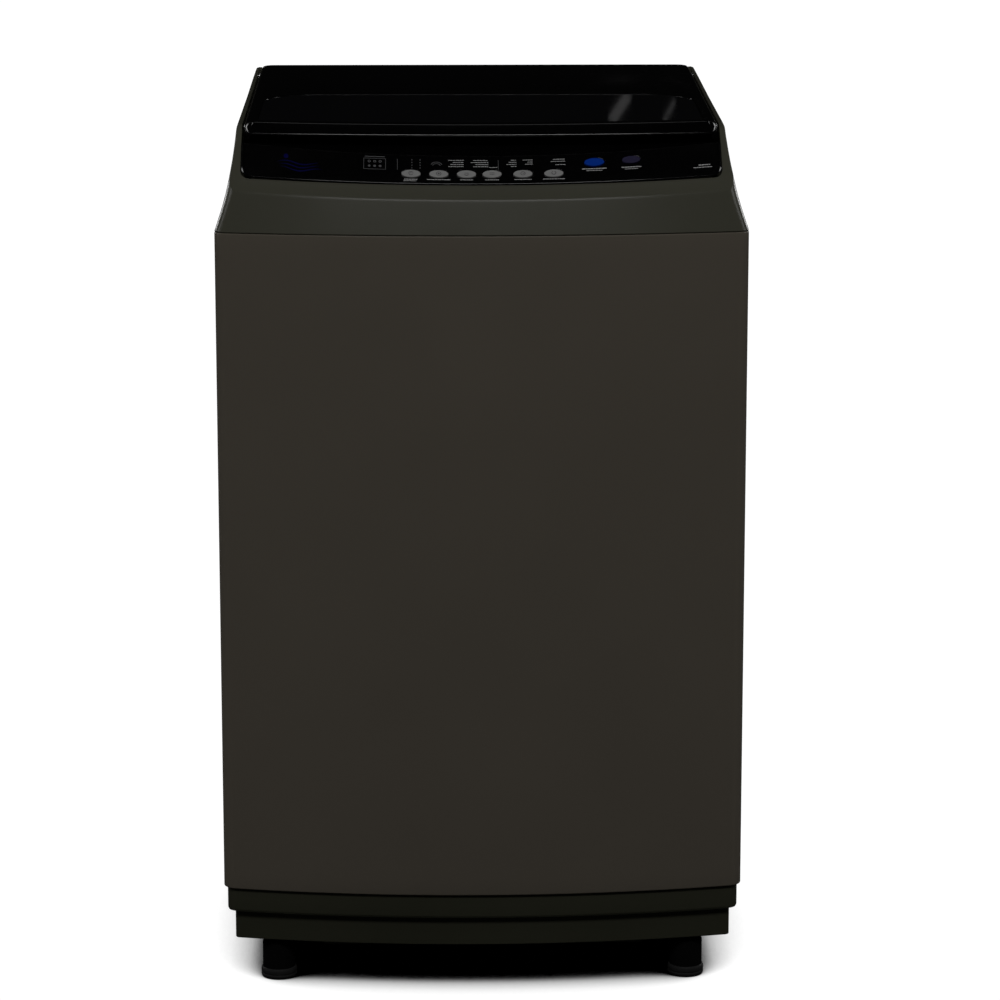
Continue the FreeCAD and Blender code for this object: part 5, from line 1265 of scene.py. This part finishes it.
# ---- lid ------------------------------------------------------------------------------------------------------
@dataclass
class Lid:
    """Gloss black lid frame with a raised front lip, its smoked window, pins and buffers."""

    rim: float = 0.005
    skin: float = 0.003
    window_margin: float = 0.014
    window_front: float = 0.014
    window_back: float = 0.330
    window_corner: float = 0.060
    glass: float = 0.0038
    ledge: float = 0.006
    counts: tuple[int, int, int, int, int] = (24, 14, 40, 14, 44)

    def outline(self) -> np.ndarray:
        """Closed ring of the lid's plan."""
        line = LINES
        bow = line.reach ** 2 / (2 * line.lid_bow)
        return mirrored(plan(line.lid_half, line.front + line.lid_front[0], line.front + line.lid_back[0], bow,
                             0.009, 0.015, self.counts))

    def window(self, inset: float) -> np.ndarray:
        """Closed ring of the window, set in by inset, matched to the lid's columns."""
        line = LINES
        bow = line.reach ** 2 / (2 * line.lid_bow)
        front = line.front + line.lid_knee[0] + self.window_front + inset
        return mirrored(plan(line.lid_half - self.window_margin - inset, front,
                             line.front + self.window_back - inset, bow, 0.012, self.window_corner - inset,
                             self.counts))

    def at(self, flat: np.ndarray, drop: np.ndarray | float) -> np.ndarray:
        """Points of the lid's face at (n, 2) plan points, lowered by drop."""
        height = LINES.joint + LINES.lid_rise(flat[..., 1] - LINES.front) - 0.0001 - drop
        return np.concatenate([flat, np.broadcast_to(height, flat.shape[:-1])[..., None]], -1)

    def raised(self, flat: np.ndarray, rise: np.ndarray) -> np.ndarray:
        """Adds the height joint + rise to (n, 2) plan points."""
        return np.concatenate([flat, (LINES.joint + rise)[:, None]], -1)

    def frame_piece(self) -> None:
        """Lid frame: a closed section carried round the outline.

        The section climbs the skirt, crosses a bevel that is 13 mm wide at the front and 3 mm at the sides and back,
        runs along the face to the window, drops past the glass, turns under its ledge and comes back inside the rim.
        The share of the wide bevel is the square of how far the outline's normal looks forward.
        """
        line = LINES
        ring = self.outline()
        normal = inward(ring)
        ahead = smooth(np.clip(normal[:, 1], 0, 1) * 1.6 - 0.6)
        bevel = 0.003 + (line.lid_knee[0] - line.lid_front[0] - 0.003) * ahead
        inner = ring + normal * bevel[:, None]
        top = line.lid_rise(ring[:, 1] - line.front)
        start = (top - 0.003) * (1 - ahead) + line.lid_front[1] * ahead
        share = (ring[:, 1] - line.front - line.step_setback) / (line.lid_back[0] - line.step_setback)
        under = 0.094 + 0.018 * np.clip(share, 0, 1)
        under = np.maximum(under, (line.lid_front[1] - 0.002) * ahead)
        under_in = 0.094 + 0.018 * np.clip(share, 0, 1) + 0.001
        rim_line = ring + normal * (self.rim + 0.008 * ahead)[:, None]
        opening, glass_edge = self.window(self.ledge), self.window(0.0)
        corners = np.stack([
            self.raised(ring + normal * 0.0015, under), self.raised(ring, under + 0.0002),
            self.raised(ring, start), self.at(inner, 0.0),
            self.at(inner * 0.5 + glass_edge * 0.5, 0.0), self.at(glass_edge, 0.0), self.at(glass_edge, self.glass),
            self.at(opening, self.glass), self.at(opening, self.glass + 0.0025),
            self.at(rim_line, self.skin + 0.001), self.raised(rim_line, under_in)], 1)
        sizes = np.array([0, 0.0010, 0.0022, 0.0014, 0.0002, 0.0002, 0.0002, 0.0005, 0.0008, 0.002, 0.0])
        shape = rounded(corners, sizes, 5)
        mesh_object("lid_shell", grid(shape, loop_u=True, loop_v=True), BLACK_GLOSS, "lid", ("lid_frame",), sharp=50)

    def glass_piece(self) -> None:
        """Smoked window: rings that shrink to its middle, on top and underneath, joined by a rounded edge."""
        edge = self.window(0.0004)
        middle = np.array([[0.0, edge[:, 1].mean()]])
        small = self.window(0.0012)
        shares = (0.9, 0.6, 0.3, 0.0)
        rows = [self.at(middle + (small - middle) * s, 0.0002) for s in (0.0, 0.3, 0.6, 0.9)]
        rows += [self.at(small, 0.0002), self.at(edge, 0.0008), self.at(edge, self.glass - 0.0006),
                 self.at(small, self.glass - 0.0001)]
        rows += [self.at(middle + (small - middle) * s, self.glass - 0.0001) for s in shares]
        mesh_object("lid_window", grid(np.stack(rows, 1), loop_u=True), SMOKED_GLASS, "lid", ("lid_glass",))

    def build(self) -> None:
        """Builds the frame and the window."""
        self.frame_piece()
        self.glass_piece()


# ---- wash group -----------------------------------------------------------------------------------------------
@dataclass
class WashGroup:
    """Drum, balance ring and pulsator, which show when the lid is open."""

    ribs: int = 18
    dimple: float = 0.003
    sheet: float = 0.0011
    pads: int = 24
    pad_depth: float = 0.0012
    vanes: int = 6
    sweep: float = 0.9

    def __post_init__(self) -> None:
        """Reads the drum's and the pulsator's sizes from the frame."""
        low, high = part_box("spin_basket")
        self.radius, self.floor, self.top = high.x, low.z, high.z
        low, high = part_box("pulsator")
        self.disc, self.disc_low, self.disc_top = high.x, low.z, high.z

    def drum(self) -> None:
        """Drum: a turned wall with pressed dimples.

        The wall's radius is pulled in by dimple times the product of two cosines to the power 0.8, one round the drum
        and one up it, each cut off below zero. It leaves rows of soft oval dimples between plain bands.
        """
        angle = full_turn(288)[:, None]
        z = np.concatenate([np.linspace(self.floor + 0.022, self.top - 0.012, 70), [self.top]])[None, :]
        share = (z - self.floor - 0.05) / (self.top - self.floor - 0.1)
        up = np.clip(np.cos(2 * np.pi * share * 5), 0, 1) * ((share > 0) & (share < 1))
        round_drum = np.clip(np.cos(self.ribs * angle), 0, 1)
        pull = self.dimple * (up * round_drum) ** 0.8
        outer = self.radius - pull
        inner = outer - self.sheet
        floor_r = np.array([0.224, 0.200, 0.120, 0.0172])[None, :] + 0 * angle
        floor_z = np.full_like(floor_r, self.floor)
        out_r = np.concatenate([floor_r[:, ::-1], outer], 1)
        out_z = np.concatenate([floor_z, z + 0 * angle], 1)
        in_r = np.concatenate([inner[:, ::-1], floor_r], 1)
        in_z = np.concatenate([z[:, ::-1] + 0 * angle, floor_z + 0.0015], 1)
        r, h = np.concatenate([out_r, in_r], 1), np.concatenate([out_z, in_z], 1)
        shape = np.stack([r * np.cos(angle), r * np.sin(angle) + LINES.wash_y, h], -1)
        mesh_object("wash_drum", grid(shape, loop_u=True, loop_v=True), STAINLESS, "basket", ("spin_basket",))

    def ring(self) -> None:
        """Balance ring: a turned tube with a soft top and shallow pads round it."""
        low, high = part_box("balance_ring")
        outer, inner = high.x, high.x - 0.041
        skirt = low.z + 0.010
        plug = self.radius - 0.0013
        loop = np.array([(inner, low.z + 0.008), (inner + 0.008, low.z), (plug, low.z), (plug, skirt), (outer, skirt),
                         (outer, high.z - 0.002), (outer - 0.006, high.z), (inner + 0.010, high.z),
                         (inner, high.z - 0.010)])
        profile = rounded_loop(loop, 0.005, 6)
        angle = full_turn(240)[:, None]
        r, h = profile[None, :, 0], profile[None, :, 1]
        pad = smooth(np.cos(self.pads * angle) * 3 - 1.2) * smooth((h - high.z + 0.003) / 0.002) * -self.pad_depth
        shape = np.stack([r * np.cos(angle), r * np.sin(angle) + LINES.wash_y, h + pad], -1)
        mesh_object("balance_hoop", grid(shape, loop_u=True, loop_v=True), GREY_PLASTIC, "basket", ("balance_ring",))

    def pulsator(self) -> None:
        """Pulsator: a dished disc with swept vanes.

        Height over radius r and angle a is the dish 6 mm + 12 mm (1 - r/R)^2.2, plus a hub of 10 mm, plus vanes of
        13 mm: a bell of the arc distance from the swept line a = a0 + sweep r/R, that grows and fades along r.
        """
        angle = full_turn(360)[:, None]
        share = np.concatenate([[0.0001], np.linspace(0.06, 0.97, 60), [0.99, 1.0, 1.0]])[None, :]
        r = share * self.disc
        turn = 2 * np.pi / self.vanes
        lag = np.mod(angle - self.sweep * share + turn / 2, turn) - turn / 2
        arc = lag * r
        width = 0.007 + 0.010 * (1 - share)
        vane = np.exp(-(arc / width) ** 2) * smooth((share - 0.16) / 0.2) * smooth((0.98 - share) / 0.12)
        hub = 0.010 * smooth((0.17 - share) / 0.08)
        dish = 0.006 + 0.012 * (1 - share) ** 2.2
        top = self.disc_low + np.minimum(dish + hub + 0.013 * vane, self.disc_top - self.disc_low)
        top[:, -1] = self.disc_low
        fine = 0.0006 * np.cos(90 * np.pi * share) * smooth((share - 0.4) / 0.1) * smooth((0.9 - share) / 0.05)
        top[:, :-3] += (fine * (1 - vane))[:, :-3]
        x, y = r * np.cos(angle), r * np.sin(angle) + LINES.wash_y
        upper = np.stack([x, y, np.minimum(top, self.disc_top)], -1)
        under = np.stack([x[:, ::12], y[:, ::12], np.full_like(x[:, ::12], self.disc_low)], -1)[:, ::-1]
        mesh_object("pulsator_disc", grid(np.concatenate([upper, under], 1), loop_u=True), PULSATOR_PLASTIC,
                    "pulsator", ("pulsator",))

    def build(self) -> None:
        """Builds what turns in the tub."""
        self.drum()
        self.ring()
        self.pulsator()


# ---- services at the back -------------------------------------------------------------------------------------
@dataclass
class Services:
    """Threaded water inlet, barbed drain spigot and cross-recessed screws."""

    thread_pitch: float = 0.0018
    barb_pitch: float = 0.0062
    spigot_bore: float = 0.0128
    head_radius: float = 0.0045
    head_proud: float = 0.0022
    head_dome: float = 0.0052
    cross_half: float = 0.0006
    cross_reach: float = 0.0026
    cross_depth: float = 0.0009

    def inlet(self) -> None:
        """Inlet port: a turned nozzle whose outer radius is a saw wave of its length, with a hollow mouth."""
        _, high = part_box("inlet_valve")
        x, z = 0.160, LINES.joint + 0.062
        wall = LINES.rear - 0.003
        y = np.linspace(0.004, high.y - wall - 0.0014, 90)
        saw = np.abs(np.mod(y / self.thread_pitch, 1.0) - 0.5) * 2
        outer = np.stack([0.0122 + 0.0010 * saw, y], -1)
        loop = np.concatenate([[(0.0132, 0.0)], outer, [(0.0112, high.y - wall), (0.0092, high.y - wall),
                               (0.0088, high.y - wall - 0.001), (0.0086, 0.004), (0.002, 0.0035), (0.002, 0.0)]])
        nozzle = lying(turned(loop, 64)).shifted(x, wall, z)
        mesh_object("inlet_nozzle", nozzle, WHITE_PLASTIC, "cabinet")

    def spigot(self) -> None:
        """Drain spigot: a turned tube with three barbs; each barb's radius falls in a straight line."""
        low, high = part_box("drain_outlet")
        x, z = (low.x + high.x) / 2, (low.z + high.z) / 2
        y = np.linspace(0.0, high.y - low.y - 0.001, 80)
        barb = np.mod(y / self.barb_pitch, 1.0)
        outer = np.stack([np.where(y > 0.013, 0.0146 + 0.0014 * (1 - barb), 0.0150), y], -1)
        collar = np.array([(0.024, 0.009), (0.024, 0.0125), (0.0155, 0.0128)])
        before, after = outer[y < 0.009], outer[y > 0.0128]
        mouth = [(0.0135, high.y - low.y), (self.spigot_bore, high.y - low.y), (self.spigot_bore, 0.0)]
        loop = np.concatenate([before, [(0.015, 0.009)], collar, after, mouth])
        tube = lying(turned(loop, 64)).shifted(x, low.y, z)
        mesh_object("drain_spigot", tube, GREY_PLASTIC, "cabinet", ("drain_outlet",))

    def screws(self) -> None:
        """Screws: a turned pan head with a cross sunk into its top.

        The head's height is head_proud times the root of 1 - (r / head_dome)^2, less cross_depth wherever the distance
        from either axis is under cross_half and the radius is under cross_reach.
        """
        heads = []
        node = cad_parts["cover_screws"]
        points = np.array([v.co for v in node.data.vertices])
        keys = np.unique(np.round(points[:, [0, 2]] / 0.03), axis=0)
        for key in keys:
            near = points[np.all(np.round(points[:, [0, 2]] / 0.03) == key, axis=1)]
            heads.append((near.min(0) + near.max(0)) / 2)
        spots = self._merged(heads)
        angle = full_turn(64)[:, None]
        r = np.concatenate([[0.0], np.linspace(0.0003, 0.0042, 24), [self.head_radius] * 2])[None, :]
        shape = []
        for spot in spots:
            x, z = r * np.cos(angle), r * np.sin(angle)
            head = self.head_proud * np.sqrt(np.clip(1 - (r / self.head_dome) ** 2, 0, 1))
            cross = (np.minimum(np.abs(x), np.abs(z)) < self.cross_half) & (r < self.cross_reach)
            y = head - self.cross_depth * cross
            y[:, -1] = 0.0
            base = spot[1] - 0.0012
            top = np.stack([x + spot[0], y + base, z + spot[2]], -1)
            low = np.stack([0 * x[:, :1] + spot[0], 0 * y[:, :1] + base, 0 * z[:, :1] + spot[2]], -1)
            shape.append(grid(np.concatenate([top, low], 1), loop_u=True))
        mesh_object("rear_screws", joined(shape), SCREW, "cabinet", ("cover_screws",), sharp=30)

    @staticmethod
    def _merged(spots: list[np.ndarray]) -> list[np.ndarray]:
        """Joins middles that are less than 12 mm apart, because a head may lie across two cells."""
        kept: list[np.ndarray] = []
        for spot in spots:
            if all(np.linalg.norm(spot - other) > 0.012 for other in kept):
                kept.append(spot)
        return kept

    def build(self) -> None:
        """Builds what shows at the back."""
        self.inlet()
        self.spigot()
        self.screws()


# ---- studio ---------------------------------------------------------------------------------------------------
@dataclass
class Studio:
    """Pale floor, soft light and the camera."""

    camera_place: tuple[float, float, float] = (-0.0604, -4.305, 1.3833)
    pitch: float = 11.509
    yaw: float = 1.136
    lens: float = 132.85
    floor_bounce: float = 0.10
    # reach of the ambient occlusion that paints the floor's contact shadow
    painted_shadow_reach: float = 0.30
    sky: float = 0.0015

    def camera(self) -> None:
        """Camera that looks down on the front from a little left of the middle."""
        data = bpy.data.cameras.new("camera")
        data.lens = self.lens
        data.sensor_width = 36.0
        data.clip_end = 60.0
        camera = bpy.data.objects.new("camera", data)
        camera.location = self.camera_place
        pitch, yaw = math.radians(self.pitch), math.radians(self.yaw)
        forward = Vector((math.sin(yaw) * math.cos(pitch), math.cos(yaw) * math.cos(pitch), -math.sin(pitch)))
        camera.rotation_euler = forward.to_track_quat("-Z", "Y").to_euler()
        bpy.context.scene.collection.objects.link(camera)
        bpy.context.scene.camera = camera

    def lamp(self, name: str, place: tuple[float, float, float], aim: tuple[float, float, float],
             size: tuple[float, float], power: float, roll: float = 0.0) -> None:
        """Rectangular soft light.

        Args:
            name: the light's name.
            place: its middle.
            aim: the point that it looks at.
            size: its width and height.
            power: its watts.
            roll: degrees that it is turned about its own axis.
        """
        data = bpy.data.lights.new(name, "AREA")
        data.shape = "RECTANGLE"
        data.size, data.size_y = size
        data.energy = power
        light = bpy.data.objects.new(name, data)
        light.location = place
        turn = (Vector(aim) - Vector(place)).to_track_quat("-Z", "Y")
        light.rotation_euler = (turn @ Quaternion((0.0, 0.0, 1.0), math.radians(roll))).to_euler()
        bpy.context.scene.collection.objects.link(light)

    def floor(self) -> None:
        """Wide pale floor under the feet."""
        x = np.linspace(-30, 30, 3)[:, None]
        y = np.linspace(-30, 30, 3)[None, :]
        shape = grid(np.stack(np.broadcast_arrays(x, y, 0 * x - 0.0002), -1))
        mesh = bpy.data.meshes.new("floor")
        mesh.from_pydata(shape.points.tolist(), [], shape.quads.tolist())
        mesh.materials.append(self.floor_material())
        floor = bpy.data.objects.new("floor", mesh)
        bpy.context.scene.collection.objects.link(floor)

    def floor_material(self) -> bpy.types.Material:
        """White sweep: for the camera it glows, with a painted contact shadow near the machine that comes from ambient
        occlusion and not from the lamps; it glows evenly farther off and sends little light back up.

        Returns:
            The material.
        """
        material = bpy.data.materials.new("studio_floor")
        material.use_nodes = True
        wiring = Wiring(material.node_tree)
        material.node_tree.nodes.remove(material.node_tree.nodes["Principled BSDF"])
        place = wiring.add("ShaderNodeSeparateXYZ", {0: wiring.add("ShaderNodeTexCoord").outputs["Object"]})
        x, y = place.outputs["X"], place.outputs["Y"]
        away = wiring.maths("SQRT", wiring.maths("ADD", wiring.maths("MULTIPLY", x, x), wiring.maths("MULTIPLY", y, y)))
        # painted contact shadow: the floor's glow is dimmed wherever ambient occlusion finds the machine close by,
        # under it and beside it
        painted_shadow_ao = wiring.add("ShaderNodeAmbientOcclusion", {"Distance": self.painted_shadow_reach}, samples=48)
        near = wiring.spread(painted_shadow_ao.outputs["AO"], 0.28, 0.58, 0.0, 1.06)
        glow = wiring.add("ShaderNodeEmission", {"Color": (1.0, 1.0, 1.0, 1.0)})
        strength = wiring.add("ShaderNodeMix", {0: wiring.spread(away, 0.75, 1.2, 0.0, 1.0), 2: near, 3: 1.06})
        wiring.tree.links.new(strength.outputs[0], glow.inputs["Strength"])
        dim = wiring.add("ShaderNodeBsdfDiffuse", {"Color": (self.floor_bounce,) * 3 + (1.0,)})
        rays = wiring.add("ShaderNodeLightPath")
        both = wiring.add("ShaderNodeMixShader", {0: rays.outputs["Is Camera Ray"], 1: dim.outputs[0],
                                                  2: glow.outputs[0]})
        wiring.tree.links.new(both.outputs[0], material.node_tree.nodes["Material Output"].inputs["Surface"])
        return material

    def world(self) -> None:
        """White backdrop that the camera sees, and a dimmer sky for light and reflections."""
        world = bpy.data.worlds.new("studio")
        world.use_nodes = True
        wiring = Wiring(world.node_tree)
        backdrop = world.node_tree.nodes["Background"]
        backdrop.inputs["Color"].default_value = (1.0, 1.0, 1.0, 1.0)
        backdrop.inputs["Strength"].default_value = 1.05
        sky = wiring.add("ShaderNodeBackground", {"Color": (1.0, 1.0, 1.0, 1.0), "Strength": self.sky})
        rays = wiring.add("ShaderNodeLightPath")
        mix = wiring.add("ShaderNodeMixShader", {0: rays.outputs["Is Camera Ray"], 1: sky.outputs[0],
                                                 2: backdrop.outputs[0]})
        wiring.tree.links.new(mix.outputs[0], world.node_tree.nodes["World Output"].inputs["Surface"])
        bpy.context.scene.world = world

    def build(self) -> None:
        """Builds the stage, the lights and the camera."""
        self.camera()
        self.floor()
        self.world()
        self.lamp("front_top", (0.0, -4.2, 4.6), (0.0, 0.0, 0.6), (3.4, 1.2), 150.0)
        self.lamp("crease_strip", (0.0, -2.08, 4.50), (0.0, -0.28, 0.93), (3.4, 0.10), 7.0)
        self.lamp("rear_top", (0.0, 1.3, 4.0), (0.0, 0.0, 0.6), (1.6, 0.8), 3.0)
        for side in (-1, 1):
            self.lamp("side", (side * 3.8, 0.3, 1.7), (0.0, 0.0, 0.7), (1.2, 1.6), 26.0)
            self.lamp("rear_side", (side * 3.2, 3.4, 1.6), (0.0, 0.0, 0.6), (1.0, 1.6), 36.0)
        self.lamp("streak_wide", (0.484, 6.0, 2.21), (0.16, -0.08, 0.98), (0.026, 0.090), 0.00055, -33.0)
        self.lamp("streak_thin", (0.623, 6.0, 2.22), (0.22, -0.08, 0.98), (0.012, 0.066), 0.00013, -28.0)
        scene = bpy.context.scene
        scene.view_settings.view_transform = "Standard"
        scene.view_settings.look = "None"


def main() -> None:
    """Builds every sub-assembly in order."""
    logging.basicConfig(level=logging.INFO, format="%(message)s")
    build_groups()
    dress_frame()
    for part in (Cabinet(), TopCover(), ControlPanel(), Lid(), WashGroup(), Services(), Studio()):
        log.info("building %s", type(part).__name__)
        part.build()


if __name__ == "__main__":
    main()
